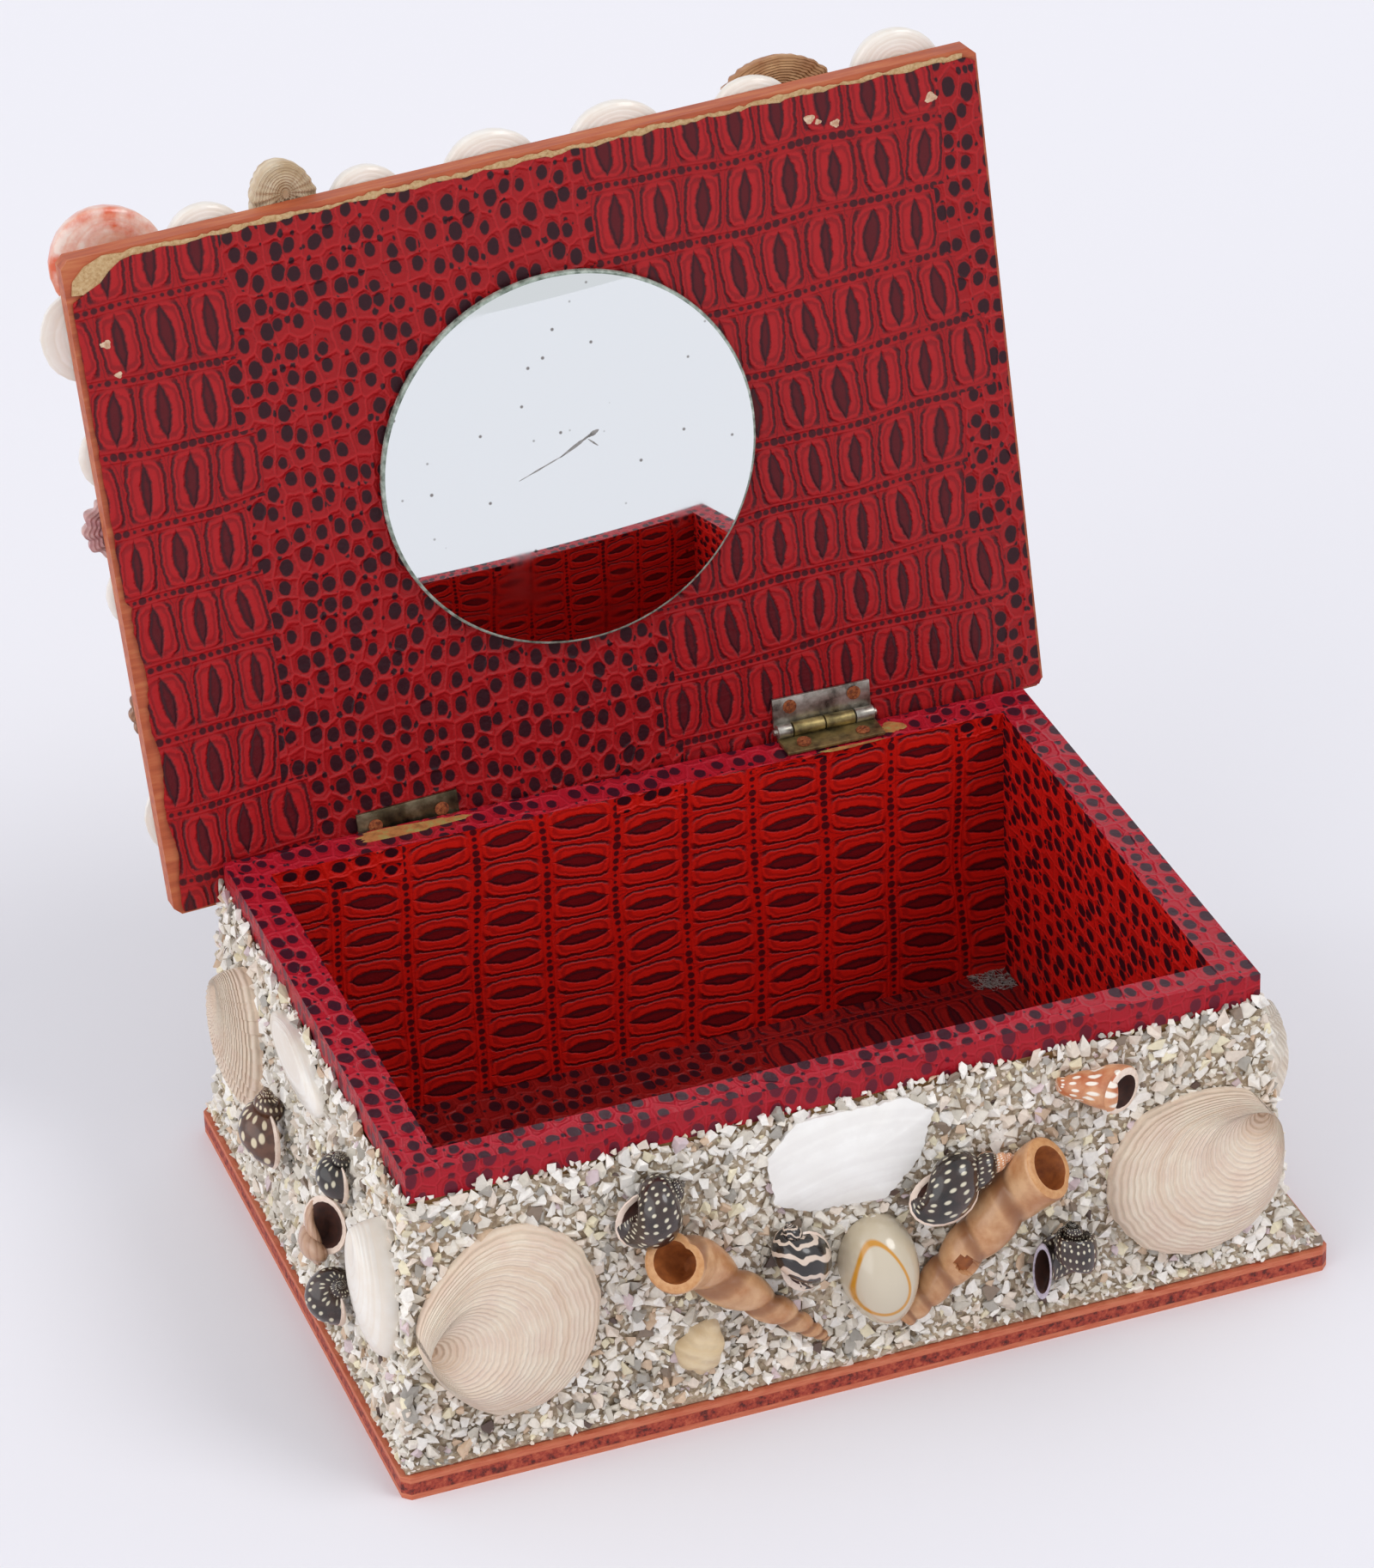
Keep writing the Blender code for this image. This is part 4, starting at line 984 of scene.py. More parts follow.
@dataclass(frozen=True)
class Tower(Form):
    """A long tapered shell lying down: a slight groove winds round it, and its broken wide end is open.

    Its mouth is near the origin and turned outward, and its tip is at +X.
    """

    length: float
    radius: float
    growth: float = 1.36
    tip: float = 0.12
    groove: float = 0.34
    bend: float = 46.0
    hole: float = 0.0
    line_pitch: float = 3.1
    around: int = 28
    rows: int = 190

    def add_to(self, mesh: MeshBuilder, seat: Seat) -> None:
        """Adds the body, its lip and the dark inside; materials are skin, lip and inside."""
        s = np.concatenate([np.linspace(1, 0, self.rows), [0, 0, 0, 0.02, 0.07, 0.12]])
        share = self.tip + (1 - self.tip) * (1 - s) ** 0.78
        ends = np.concatenate([np.ones(self.rows), [0.96, 0.88, 0.7, 0.62, 0.56, 0.3]])
        step = np.concatenate([np.zeros(self.rows), [0.35, 0.7, 0.7, 0, 0, 0]]) * MM
        turn = np.radians(self.bend) * np.clip((0.2 - s) / 0.2, 0, 1)
        path = np.zeros((len(s), 2))
        for i in range(1, len(s)):
            run = (s[i - 1] - s[i]) * self.length * 0.96 * MM
            path[i] = path[i - 1] + np.array([-math.cos(turn[i]), math.sin(turn[i])]) * run
        path += np.column_stack([-np.cos(turn), np.sin(turn)]) * step[:, None]
        phi = np.linspace(0, math.tau, self.around, endpoint=False)
        grown = (np.log(share) / math.log(self.growth))[:, None]
        whorl = grown - phi[None, :] / math.tau
        round_ = 1 - self.groove * (1 - np.abs(np.sin(math.pi * whorl)) ** 0.7)
        r = (self.radius * MM * share * ends)[:, None] * round_
        # A hole broken in the side: its middle is on top, this share of the way to the tip.
        off_top = (phi[None, :] - math.pi / 2) * self.radius * 0.5
        reach = np.hypot((s[:, None] - self.hole) * self.length, off_top)
        broken = (reach < 2.0) & (self.hole > 0)
        r = np.where(broken, r * 0.72, r)
        across, rise = r * np.cos(phi), r * np.sin(phi)
        x = path[:, :1] + rise * np.sin(turn)[:, None]
        z = path[:, 1:] + rise * np.cos(turn)[:, None]
        x = x - x.min()
        z = z + (self.radius * MM * share)[:, None] * 0.97
        looks = [0] * (self.rows - 1) + [0, 1, 1, 2, 2, 2]
        u = np.linspace(0, 1, self.around + 1)[None, :] * np.ones((len(s), 1)) * self.radius * 4
        v = (grown - np.linspace(0, 1, self.around + 1)[None, :] + 12.75) * self.line_pitch
        first = len(mesh.looks)
        mesh.grid(seat.place(np.stack([x, across, z], axis=2)), np.stack([u, v], axis=2), looks)
        for i, j in zip(*np.nonzero(broken[: self.rows - 1])):
            mesh.looks[first + i * self.around + j] = 2


@dataclass(frozen=True)
class Egg(Form):
    """A rounded shell or pebble with a flat seat, broad end along +Y."""

    width: float
    height: float
    depth: float
    bumps: float = 0.0
    narrowing: float = 0.12

    def add_to(self, mesh: MeshBuilder, seat: Seat) -> None:
        """Adds the dome, with its place in millimetres as its UV."""
        rise = np.linspace(0, math.pi / 2, 20, endpoint=False)[:, None]
        turn = np.linspace(0, math.tau, 56, endpoint=False)
        lumps = 1 + self.bumps * np.sin(turn * 3 + 1) * np.cos(rise * 2) + self.bumps * 0.5 * np.sin(turn * 7)
        across = self.width / 2 * np.cos(rise) ** 0.9 * np.sin(turn)
        px = across / (1 - self.narrowing * np.cos(turn)) * 0.95 * lumps
        py = self.height / 2 * np.cos(rise) * np.cos(turn) * lumps
        pz = self.depth * np.sin(rise) ** 0.9 * np.ones_like(turn)
        points = np.stack([px, py, pz], axis=2)
        around = np.concatenate([points, points[:, :1]], axis=1)
        mesh.grid(seat.place(points * MM), around[..., :2])


@dataclass(frozen=True)
class Fragment(Form):
    """A broken piece of a large shell: chipped edges and a low crown. Its growth is about a far beak."""

    outline: tuple[Pair, ...]
    thickness: float
    crown: float
    beak: Pair = (3.0, -34.0)
    jag: float = 0.35

    def add_to(self, mesh: MeshBuilder, seat: Seat) -> None:
        """Adds the crown, the broken edge and the back."""
        corners = np.array(self.outline)
        closed = np.vstack([corners, corners[:1]])
        steps = np.concatenate([[0], np.cumsum(np.linalg.norm(np.diff(closed, axis=0), axis=1))])
        s = np.linspace(0, steps[-1], 96, endpoint=False)
        edge = np.column_stack([np.interp(s, steps, closed[:, 0]), np.interp(s, steps, closed[:, 1])])
        middle = corners.mean(axis=0)
        chips = np.random.default_rng(5).normal(0, self.jag, 96)
        away = (edge - middle) / np.linalg.norm(edge - middle, axis=1)[:, None]
        edge = edge - away * np.abs(chips)[:, None]
        shares = np.array([0.02, 0.2, 0.4, 0.6, 0.75, 0.88, 0.96, 1.0, 0.99, 0.5])
        flat = middle + shares[:, None, None] * (edge - middle)
        rise = self.thickness + (self.crown - self.thickness) * (1 - shares[:, None] ** 2) * np.ones(96)
        rise[-2:] = 0.0
        points = np.concatenate([flat, rise[..., None]], axis=2)
        reach = np.linalg.norm(flat - np.array(self.beak), axis=2)
        uv = np.stack([flat[..., 0], reach], axis=2)
        mesh.grid(seat.place(points * MM), np.concatenate([uv, uv[:, :1]], axis=1))


class Skin(Enum):
    """The skins of the shells in the picture."""

    # Fine raised ridges catch the light as thin lines on a dry, weathered ground.
    CREAM_CLAM = ShellFinish(
        "cream clam, fine ridges, weathered", Marking.GROWTH_LINES, "#EBDCC7", "#E3CCB9", "#D3B396",
        line_pitch=1.05, roughness=0.5, relief=0.17 * MM,
    )
    # Nearly flat and glossy: one clear highlight runs over soft cream bands.
    WHITE_CLAM = ShellFinish(
        "white clam, smooth and glossy", Marking.GROWTH_LINES, "#EFEAE2", "#E9E0D4", "#DFD0BD",
        line_pitch=2.4, roughness=0.28, relief=0.02 * MM, coat=0.3,
    )
    # The same gloss over clouds of orange.
    PEACH_CLAM = ShellFinish(
        "peach clam, smooth and glossy", Marking.GROWTH_LINES, "#F0DCD0", "#DC6540", "#E3A284",
        line_pitch=3.4, roughness=0.3, relief=0.02 * MM, coat=0.3,
    )
    # Chalky ribs: broad soft light with brown in the furrows.
    WHITE_COCKLE = ShellFinish(
        "white cockle, ribbed, chalky", Marking.RIBS, "#EEE6DA", "#DDCDBB", "#B79F88", line_pitch=1.6
    )
    # Worn ribs, warmer and duller than the white cockle's.
    TAN_COCKLE = ShellFinish(
        "tan cockle, ribbed, worn", Marking.RIBS, "#DFCFB4", "#C6AA84", "#94714A", line_pitch=1.6
    )
    # A matt brown fan with dark lines across its ribs.
    TAN_SCALLOP = ShellFinish(
        "tan scallop, ribbed, matt", Marking.RIBS, "#C99A6B", "#9C6238", "#6E3A1E", line_pitch=1.5
    )
    # A dull pink that darkens to plum in the furrows.
    PINK_RIBBED = ShellFinish(
        "pink ribbed shell, worn", Marking.RIBS, "#D9B5AC", "#B37A7A", "#7E4A50", line_pitch=1.1
    )
    # A dull brown that darkens in the furrows.
    BROWN_RIBBED = ShellFinish(
        "brown ribbed shell, worn", Marking.RIBS, "#A8795A", "#7A4A33", "#4A2A1E", line_pitch=1.1
    )
    # Smooth and softly glossy, with a brown line along each groove.
    ORANGE_TOWER = ShellFinish(
        "tan tower shell, smooth", Marking.WHORLS, "#D5A87D", "#B4794B", "#83502E",
        line_pitch=3.1, roughness=0.34, relief=0.03 * MM, coat=0.2,
    )
    # Nearly black under a wet-looking gloss, sown with small pale dots.
    DARK_DOTTED = ShellFinish(
        "black snail with yellow-white dots, glossy", Marking.DOTS, "#1B1715", "#43302A", "#D2CAB2",
        dot_size=0.19, dot_pitch=2.0, roughness=0.22, relief=0.02 * MM, coat=0.4,
    )
    # The same gloss with cream lines in zigzag.
    DARK_ZIGZAG = ShellFinish(
        "black snail with cream lines, glossy", Marking.ZIGZAG, "#1F1B1A", "#2B2624", "#D9C5B4",
        roughness=0.22, relief=0.02 * MM, coat=0.4,
    )
    # Softly glossy orange with white dots.
    PALE_DOTTED = ShellFinish(
        "orange cone with white dots, chipped", Marking.DOTS, "#DDA77C", "#B4623A", "#F2E8DA",
        dot_pitch=1.9, dot_size=0.24, roughness=0.35, relief=0.03 * MM,
    )
    # Deep brown in clouds, with flecks and a clear highlight.
    BROWN_DOTTED = ShellFinish(
        "brown-black snail with cream flecks, glossy", Marking.DOTS, "#2A1C16", "#6A4430", "#DCCDAE",
        dot_size=0.24, dot_pitch=2.6, roughness=0.26, relief=0.02 * MM, coat=0.3,
    )
    # Polished, with broad tan bands that follow its turns.
    MOON = ShellFinish(
        "tan-pink moon snail, polished", Marking.WHORLS, "#DFC0A4", "#CBA182", "#A67C60",
        line_pitch=4.0, roughness=0.24, relief=0.02 * MM, coat=0.4,
    )
    # The brightest polish of all, over grey cream with a golden line round the back.
    RINGED_COWRIE = ShellFinish(
        "cream cowrie with a golden ring, polished", Marking.RING, "#C7B99F", "#CBBFA9", "#C98C28",
        ring=(5.0, 7.8), ring_width=0.5, roughness=0.18, relief=0.02 * MM, coat=0.5,
    )
    # Almost white and smooth, with hardly any bands.
    WHITE_FRAGMENT = ShellFinish(
        "white shell fragment, banded grey", Marking.GROWTH_LINES, "#F2F0EC", "#EDEAE5", "#E4E0DC",
        line_pitch=6.0, roughness=0.35, relief=0.0,
    )
    # Dull and yellowish, its lines nearly rubbed away.
    PEBBLE = ShellFinish(
        "worn yellow shell pebble", Marking.GROWTH_LINES, "#EBDCC0", "#E2CDA8", "#CDB287", line_pitch=3.0
    )


@dataclass(frozen=True)
class Shell:
    """One seashell: the node that it stands for, its shape, its skin and where it sits."""

    node: str
    form: Form
    skin: Skin
    seat: Seat
    slot: str
    body: str = "box"


def front(x: float, height: float, turn: float = 0.0, lift: float = 0.0) -> Seat:
    """A seat on the front, by the place's X in the box's frame."""
    return PLAN.wall("front", x - PLAN.shift[0], height, turn, lift)


def left(y: float, height: float, turn: float = 0.0, lift: float = 0.0) -> Seat:
    """A seat on the left side, by the place's Y in the box's frame."""
    return PLAN.wall("left", PLAN.shift[1] - y, height, turn, lift)


def wall_shells() -> list[Shell]:
    """The shells of the four walls, each where the picture or the part shows it.

    Returns:
        The shells, front first.
    """
    broken = (
        (-16.5, -8.5), (-9, -12), (7.7, -13), (15.5, -5), (18.5, 4.5), (13, 9.3), (-11, 9.3), (-17.5, 2.5),
    )
    ridged = partial(Valve, dome=11, beak=0.0, lines=14, umbo=0.4, rows=110, columns=120)
    cockle = Valve(25, 32, 7.5, ribs=20, rib_depth=0.16)
    right_tower = Tower(46.0, 7.0, growth=1.21, tip=0.34, groove=0.2, bend=40.0, hole=0.6)
    cone = Tower(12.6, 5.5, growth=1.9, tip=0.26, groove=0.14, bend=62.0)
    long_snail = Coil(24, 12.8, 10.4, growth=1.9, whorls=4, mouth=140.0, pale_whorls=2.6)
    lipped_snail = Coil(18.5, 13, 10.6, growth=2.3, whorls=3.2, core=0.76, mouth=-32.0)
    moon_snail = Coil(15, 13.5, 9, whorls=2.6, growth=3.0, core=0.34, mouth=-54.0)
    right, back = partial(PLAN.wall, "right"), partial(PLAN.wall, "back")
    rows = (
        ("clam_front_left", ridged(42, 38), Skin.CREAM_CLAM, front(-76.0, 35.4, 88), CREAM),
        ("clam_front_right", ridged(38, 39), Skin.CREAM_CLAM, front(71.6, 31.4, -44), CREAM),
        ("white_clam_fragment", Fragment(broken, 1.2, 3.6), Skin.WHITE_FRAGMENT, front(-3.2, 55.2), WHITE),
        ("cowrie", Egg(17, 24.5, 11), Skin.RINGED_COWRIE, front(1.6, 26.6, 4), CREAM),
        ("tower_shell_left", Tower(50.0, 6.8), Skin.ORANGE_TOWER, front(-46.4, 48.0, -44), TAN),
        ("tower_shell_right", right_tower, Skin.ORANGE_TOWER, front(39.4, 47.6, 226), TAN),
        ("dotted_snail_upper_left", Coil(17, 15, 12), Skin.DARK_DOTTED, front(-53.6, 50.6, 24), DARK),
        ("banded_snail", Coil(17, 12.4, 10), Skin.DARK_ZIGZAG, front(-14.3, 27.0, 96), DARK),
        ("dotted_snail_middle", long_snail, Skin.DARK_DOTTED, front(7.2, 42.0, 12), DARK),
        ("lilac_lipped_snail", lipped_snail, Skin.DARK_DOTTED, front(40.2, 11.4, 88), DARK),
        ("spotted_cone_fragment", cone, Skin.PALE_DOTTED, front(58.0, 56.6, 172), TAN),
        ("worn_pebble", Egg(10.2, 11.6, 4.5, 0.12), Skin.PEBBLE, front(-36.8, 18.0, -20), CREAM),
        ("cockle_left_rear", cockle, Skin.CREAM_CLAM, left(41.0, 41.5), WHITE),
        ("clam_left_middle", Valve(34, 14, 3), Skin.WHITE_CLAM, left(3.0, 58.0, -4), WHITE),
        ("brown_snail_left", Coil(18, 12.5, 10, 3.4, 2.3), Skin.BROWN_DOTTED, left(13.0, 27.4, 92), TAN),
        ("dotted_snail_left_upper", Coil(12, 9, 7.4), Skin.DARK_DOTTED, left(-30.0, 46.4, 75), DARK),
        ("moon_snail", moon_snail, Skin.MOON, left(-22.9, 43.2, -70), TAN),
        ("dotted_snail_left_lower", Coil(14, 12, 10), Skin.DARK_DOTTED, left(-27.4, 20.0, 40), DARK),
        ("clam_left_front", Valve(18, 31, 7), Skin.WHITE_CLAM, left(-53.5, 40.0, 4), WHITE),
        ("cockle_right_front", Valve(27, 26, 8.6, ribs=9), Skin.WHITE_COCKLE, right(-45.6, 41.0, 12), WHITE),
        ("clam_right_middle", Valve(30, 28, 8), Skin.CREAM_CLAM, right(-4.0, 38.0, -8), CREAM),
        ("cockle_right_rear", Valve(29, 31, 9, ribs=9), Skin.WHITE_COCKLE, right(38.0, 36.0), WHITE),
        ("clam_back_left", Valve(31, 28, 7), Skin.CREAM_CLAM, back(42, 32, 10), CREAM),
        ("clam_back_right", Valve(31, 28, 7), Skin.CREAM_CLAM, back(-42, 32, -10), CREAM),
    )
    return [Shell(*row) for row in rows]


def lid_shells() -> list[Shell]:
    """The shells along the lid's free edge and its left edge, each its own piece."""
    white, pink = Skin.WHITE_CLAM, Skin.PINK_RIBBED
    edge = (
        ("clam_lid_corner", (-86.6, 134.6, 20, 7.6), Valve(24.5, 23, 9.5), Skin.PEACH_CLAM, PEACH),
        ("clam_lid_edge_1", (-67.4, 134.6, 0, 0), Valve(18.4, 20, 7), white, WHITE),
        ("cockle_lid_edge", (-50.0, 139.4, 0, 0), Valve(14.6, 21, 10.5, ribs=7), Skin.TAN_COCKLE, WHITE),
        ("clam_lid_edge_2", (-33.0, 134.6, 0, 0), Valve(17.8, 20, 7), white, WHITE),
        ("clam_lid_edge_3", (-6.0, 135.4, 0, 0), Valve(22, 21, 7), white, WHITE),
        ("clam_lid_edge_4", (21.5, 135.2, 0, 0), Valve(22.5, 21, 7), white, WHITE),
        ("clam_lid_edge_5", (51.4, 136.2, 0, 0), Valve(18, 16, 5), white, WHITE),
        ("scallop_lid", (59.0, 132.0, 0, 5.8), Valve(30, 27, 8, ribs=11), Skin.TAN_SCALLOP, TAN),
        ("clam_lid_edge_6", (83.8, 136.2, 0, 0), Valve(21, 22, 7.5), white, WHITE),
        ("clam_lid_side_1", (-94.6, 123.0, 90, 0), Valve(20, 20, 7), white, WHITE),
        ("clam_lid_side_2", (-93.0, 96.0, 90, 0), Valve(15, 16, 6), white, WHITE),
        ("ribbed_shell_lid_side", (-96.2, 80.6, 90, 0), Valve(13, 13.5, 7.5, ribs=6), pink, PEACH),
        ("clam_lid_side_3", (-92.4, 65.0, 90, 0), Valve(15, 16, 6), white, WHITE),
        ("brown_shell_lid_side", (-94.0, 38.0, 90, 0), Valve(13, 12, 7, ribs=6), Skin.BROWN_RIBBED, TAN),
        ("clam_lid_side_4", (-90.6, 13.5, 90, 0), Valve(19, 20, 7), white, WHITE),
    )
    # Their inner sides are closed and slightly domed, as they show over the lid's edge.
    domed = partial(replace, bulge=1.6, fan=0.04, beak=0.3)
    return [
        Shell(node, domed(form), skin, PLAN.behind_lid(x, y, turn, lift), slot, "lid")
        for node, (x, y, turn, lift), form, skin, slot in edge
    ]


@dataclass(frozen=True)
class LidRows:
    """The rows of clams and the ring in the middle of the lid's outer side."""

    pitch: float = 18.3
    row_size: float = 20.2
    ring_size: float = 20.8
    dome: float = 6.2
    ring_radius: float = 18.2
    ring_middle: Pair = (13.0, 66.0)

    def build(self, looks: dict[Skin, Material], box: Corners) -> None:
        """Builds each row as one piece that stands for its node, between two corners."""
        right = [(88.0, 24.0 + self.pitch * i, -84.0) for i in range(5)]
        low = [(-64.0 + self.pitch * i, 9.5, 174.0) for i in range(7)]
        (x, y), reach = self.ring_middle, self.ring_radius
        turns = [math.tau * i / 6 for i in range(6)]
        ring = [(x + reach * math.cos(a), y + reach * math.sin(a), 84 - math.degrees(a)) for a in turns]
        rows = (
            ("clam_row_lid_right", right, self.row_size, Skin.WHITE_CLAM, WHITE),
            ("clam_row_lid_hinge_side", low, self.row_size, Skin.WHITE_CLAM, WHITE),
            ("clam_ring_lid_middle", ring, self.ring_size, Skin.CREAM_CLAM, CREAM),
        )
        for node, places, size, skin, slot in rows:
            mesh = MeshBuilder()
            for place in places:
                Valve(size, size, self.dome, rows=26, columns=48).add_to(mesh, PLAN.behind_lid(*place))
            piece = mesh.build(f"{node}_ridged")
            kept_inside(piece, *box)
            add_piece(piece, "lid", slot, looks[skin], replaces=(node,))


@dataclass(frozen=True)
class Shells:
    """All the single seashells: each is one piece in place of its plainer node."""

    # Smooth and pale round the mouth, with a soft highlight.
    lip: PlainFinish = PlainFinish(
        "pale shell lip, polished", ((0.35, "#E2C9B8"), (0.7, "#EFDCCB")), 1.1, 0.3, 0.02 * MM, coat=0.3
    )
    # The same lip, with the violet grey of mother-of-pearl.
    lilac_lip: PlainFinish = PlainFinish(
        "lilac shell lip, polished", ((0.35, "#A79AA8"), (0.7, "#C9BFCB")), 1.1, 0.3, 0.02 * MM, coat=0.3
    )
    # A broken edge, duller than the skin beside it.
    orange_lip: PlainFinish = PlainFinish(
        "tan shell lip, worn", ((0.35, "#C08652"), (0.7, "#D3A06C")), 1.1, 0.4, 0.05 * MM
    )
    # Matt and deep, so that a mouth reads as a hole.
    inside: PlainFinish = PlainFinish(
        "shadowed inside of a shell", ((0.3, "#2A130C"), (0.7, "#4A2416")), 1.4, 0.7, 0.02 * MM
    )
    # The same in a thin shell that lets warm light through.
    orange_inside: PlainFinish = PlainFinish(
        "shadowed orange inside of a shell", ((0.3, "#7A3E16"), (0.7, "#A8602A")), 2.0, 0.6, 0.02 * MM
    )

    def build(self, shells: list[Shell], looks: dict[Skin, Material], box: Corners) -> None:
        """Builds every shell.

        Args:
            shells: The shells.
            looks: The material of each skin.
            box: Two corners that every shell stays between.
        """
        finishes = (self.lip, self.lilac_lip, self.orange_lip, self.inside, self.orange_inside)
        made = {finish: finish.material() for finish in finishes}
        for shell in shells:
            mesh = MeshBuilder()
            shell.form.add_to(mesh, shell.seat)
            materials = [looks[shell.skin]]
            if isinstance(shell.form, (Coil, Tower)):
                lip, inside = self.lip, self.inside
                if shell.skin is Skin.ORANGE_TOWER:
                    lip, inside = self.orange_lip, self.orange_inside
                elif shell.node == "lilac_lipped_snail":
                    lip = self.lilac_lip
                materials += [made[lip], made[inside], looks[Skin.PALE_DOTTED]]
            piece = mesh.build(f"{shell.node}_shell")
            kept_inside(piece, *box)
            add_piece(piece, shell.body, shell.slot, *materials, replaces=(shell.node,))


@dataclass
class Spread:
    """Where chips lie: their middles in metres, their axes as rows, and their half sizes in millimetres."""

    middles: list[Points] = field(default_factory=list)
    axes: list[Points] = field(default_factory=list)
    sizes: list[float] = field(default_factory=list)

    def add(self, middle: Points, axes: Points, size: float) -> None:
        """Adds the place of one chip."""
        self.middles.append(middle)
        self.axes.append(axes)
        self.sizes.append(size)


@dataclass(frozen=True)
class CrushedShell:
    """Crushed shell glued over the walls and the ledge: angular chips in two layers on the glue."""

    grain: GrainFinish = GrainFinish()
    pitch: float = 2.8
    size: Pair = (1.4, 2.6)
    row_share: float = 0.86
    foot: float = 7.0
    gap_chance: float = 0.06
    ledge_pitch: Pair = (1.7, 2.0)
    ledge_size: Pair = (0.9, 1.7)
    lid_pitch: Pair = (2.4, 2.3)
    lid_size: Pair = (1.0, 1.75)
    flat: float = 0.62
    templates: int = 24
    seed: int = 11
    # Mostly white and cream, with a few tan, grey and brown grains.
    tones: tuple[tuple[str, float], ...] = (
        ("#F5F0E8", 0.36), ("#E9E1D4", 0.24), ("#D2CABB", 0.12), ("#E8D9C9", 0.12), ("#D6BA9E", 0.04),
        ("#ABA59B", 0.05), ("#EADFC0", 0.06), ("#8A7868", 0.02), ("#5E4A42", 0.008), ("#D8C4C6", 0.02),
    )

    def chips(self, random: Random) -> list[tuple[Points, Points]]:
        """Makes the chip shapes: hulls of a few random points, each about one across."""
        made = []
        for _ in range(self.templates):
            shape = bmesh.new()
            for point in random.normal(0, 1, (9, 3)):
                shape.verts.new(point / np.linalg.norm(point) * random.uniform(0.75, 1.0))
            bmesh.ops.convex_hull(shape, input=shape.verts)
            loose = [v for v in shape.verts if not v.link_faces]
            bmesh.ops.delete(shape, geom=loose, context="VERTS")
            shape.verts.index_update()
            corners = np.array([v.co for v in shape.verts])
            faces = np.array([[v.index for v in f.verts] for f in shape.faces])
            shape.free()
            made.append((corners, faces))
        return made

    def scatter(self, name: str, body: str, spread: Spread, random: Random, look: Material) -> None:
        """Lays one chip at each place.

        Args:
            name: The piece's name.
            body: The body that the piece rides on.
            spread: Where the chips lie.
            random: The random numbers.
            look: The grains' material.
        """
        chips = self.chips(random)
        tones = np.array([linear(tone) for tone, _ in self.tones])
        shares = np.array([share for _, share in self.tones])
        verts, faces, colours, count = [], [], [], 0
        for place, frame, size in zip(spread.middles, spread.axes, spread.sizes):
            corners, hull = chips[random.integers(len(chips))]
            turned = Matrix.Rotation(random.uniform(0, math.tau), 3, "Z")
            spin = turned @ Matrix.Rotation(random.normal(0, 0.35), 3, "X")
            stretch = np.array([random.uniform(0.8, 1.25), random.uniform(0.6, 1.0), self.flat])
            shape = corners * stretch * size
            verts.append((shape @ np.array(spin).T) @ frame * MM + place)
            faces.append(hull + count)
            tone = tones[random.choice(len(tones), p=shares / shares.sum())] * random.uniform(0.88, 1.05)
            colours.append(np.tile(np.append(tone[:3], 1.0), (len(corners), 1)))
            count += len(corners)
        mesh = bpy.data.meshes.new(name)
        mesh.from_pydata(np.vstack(verts).tolist(), [], np.vstack(faces).tolist())
        made = finished_object(name, mesh, smooth=None)
        layer = mesh.color_attributes.new(self.grain.attribute, "FLOAT_COLOR", "POINT")
        layer.data.foreach_set("color", np.vstack(colours).astype(np.float32).ravel())
        add_piece(made, body, "crushed_shell", look)

    def wall(self, side: str, random: Random) -> Spread:
        """Places the chips of one wall, and then those of its stretch of the ledge."""
        spread = Spread()
        half = PLAN.box[0] / 2 if side in ("front", "back") else PLAN.box[1] / 2
        middle = PLAN.wall(side, 0.0, 30.0)
        frame = np.array([middle.right, middle.up, middle.out])
        top = PLAN.coat_top[1] + 2.2 - (8.0 if side == "back" else 0.0)
        for layer, (pitch, share) in enumerate(((self.pitch * 0.6, 0.55), (self.pitch, 1.0))):
            for i in range(int((top - self.foot) / (pitch * self.row_share)) + 1):
                height = self.foot + i * pitch * self.row_share
                reach = half + PLAN.coat_offset(height)
                for along in np.arange(-reach, reach, pitch) + (i % 2) * pitch / 2:
                    dx, dz = random.normal(0, pitch * 0.2, 2)
                    edge = top - 0.9 * math.sin(along * 0.21) ** 2 - random.uniform(0, 1.2)
                    if height + dz > edge or (layer and random.random() < self.gap_chance):
                        continue
                    size = random.uniform(*self.size) * share
                    place = float(np.clip(along + dx, -reach, reach))
                    seat = PLAN.wall(side, place, height + dz, lift=-0.5 + 0.45 * layer)
                    spread.add(np.array(seat.origin), frame, size)
        self.ledge(spread, side, random)
        return spread

    def ledge(self, spread: Spread, side: str, random: Random) -> None:
        """Places the chips of the ledge in front of one wall, out to the base's edge."""
        outward, across = OUTWARD[side], side in ("front", "back")
        frame = np.eye(3)
        start = (PLAN.box[1] if across else PLAN.box[0]) / 2 + PLAN.coat_foot[0] - 0.6
        start += outward[1] * PLAN.shift[1] if across else outward[0] * PLAN.shift[0]
        end = (PLAN.base[1] if across else PLAN.base[0]) / 2 - 1.3
        length = (PLAN.base[0] if across else PLAN.base[1]) / 2 - 1.6
        for layer in (0, 1):
            for reach in np.arange(start, end + 0.4, self.ledge_pitch[0]):
                for along in np.arange(-length, length, self.ledge_pitch[1]):
                    r = min(reach + random.normal(0, 0.4), end)
                    a = float(np.clip(along + random.normal(0, 0.5), -length, length))
                    size = random.uniform(*self.ledge_size) * (1.0 if layer else 0.75)
                    z = PLAN.base[2] + 0.7 + 0.9 * layer + random.uniform(-0.2, 0.7)
                    x, y = (a, outward[1] * r) if across else (outward[0] * r, a)
                    spread.add(np.array([x, y, z]) * MM, frame, size)

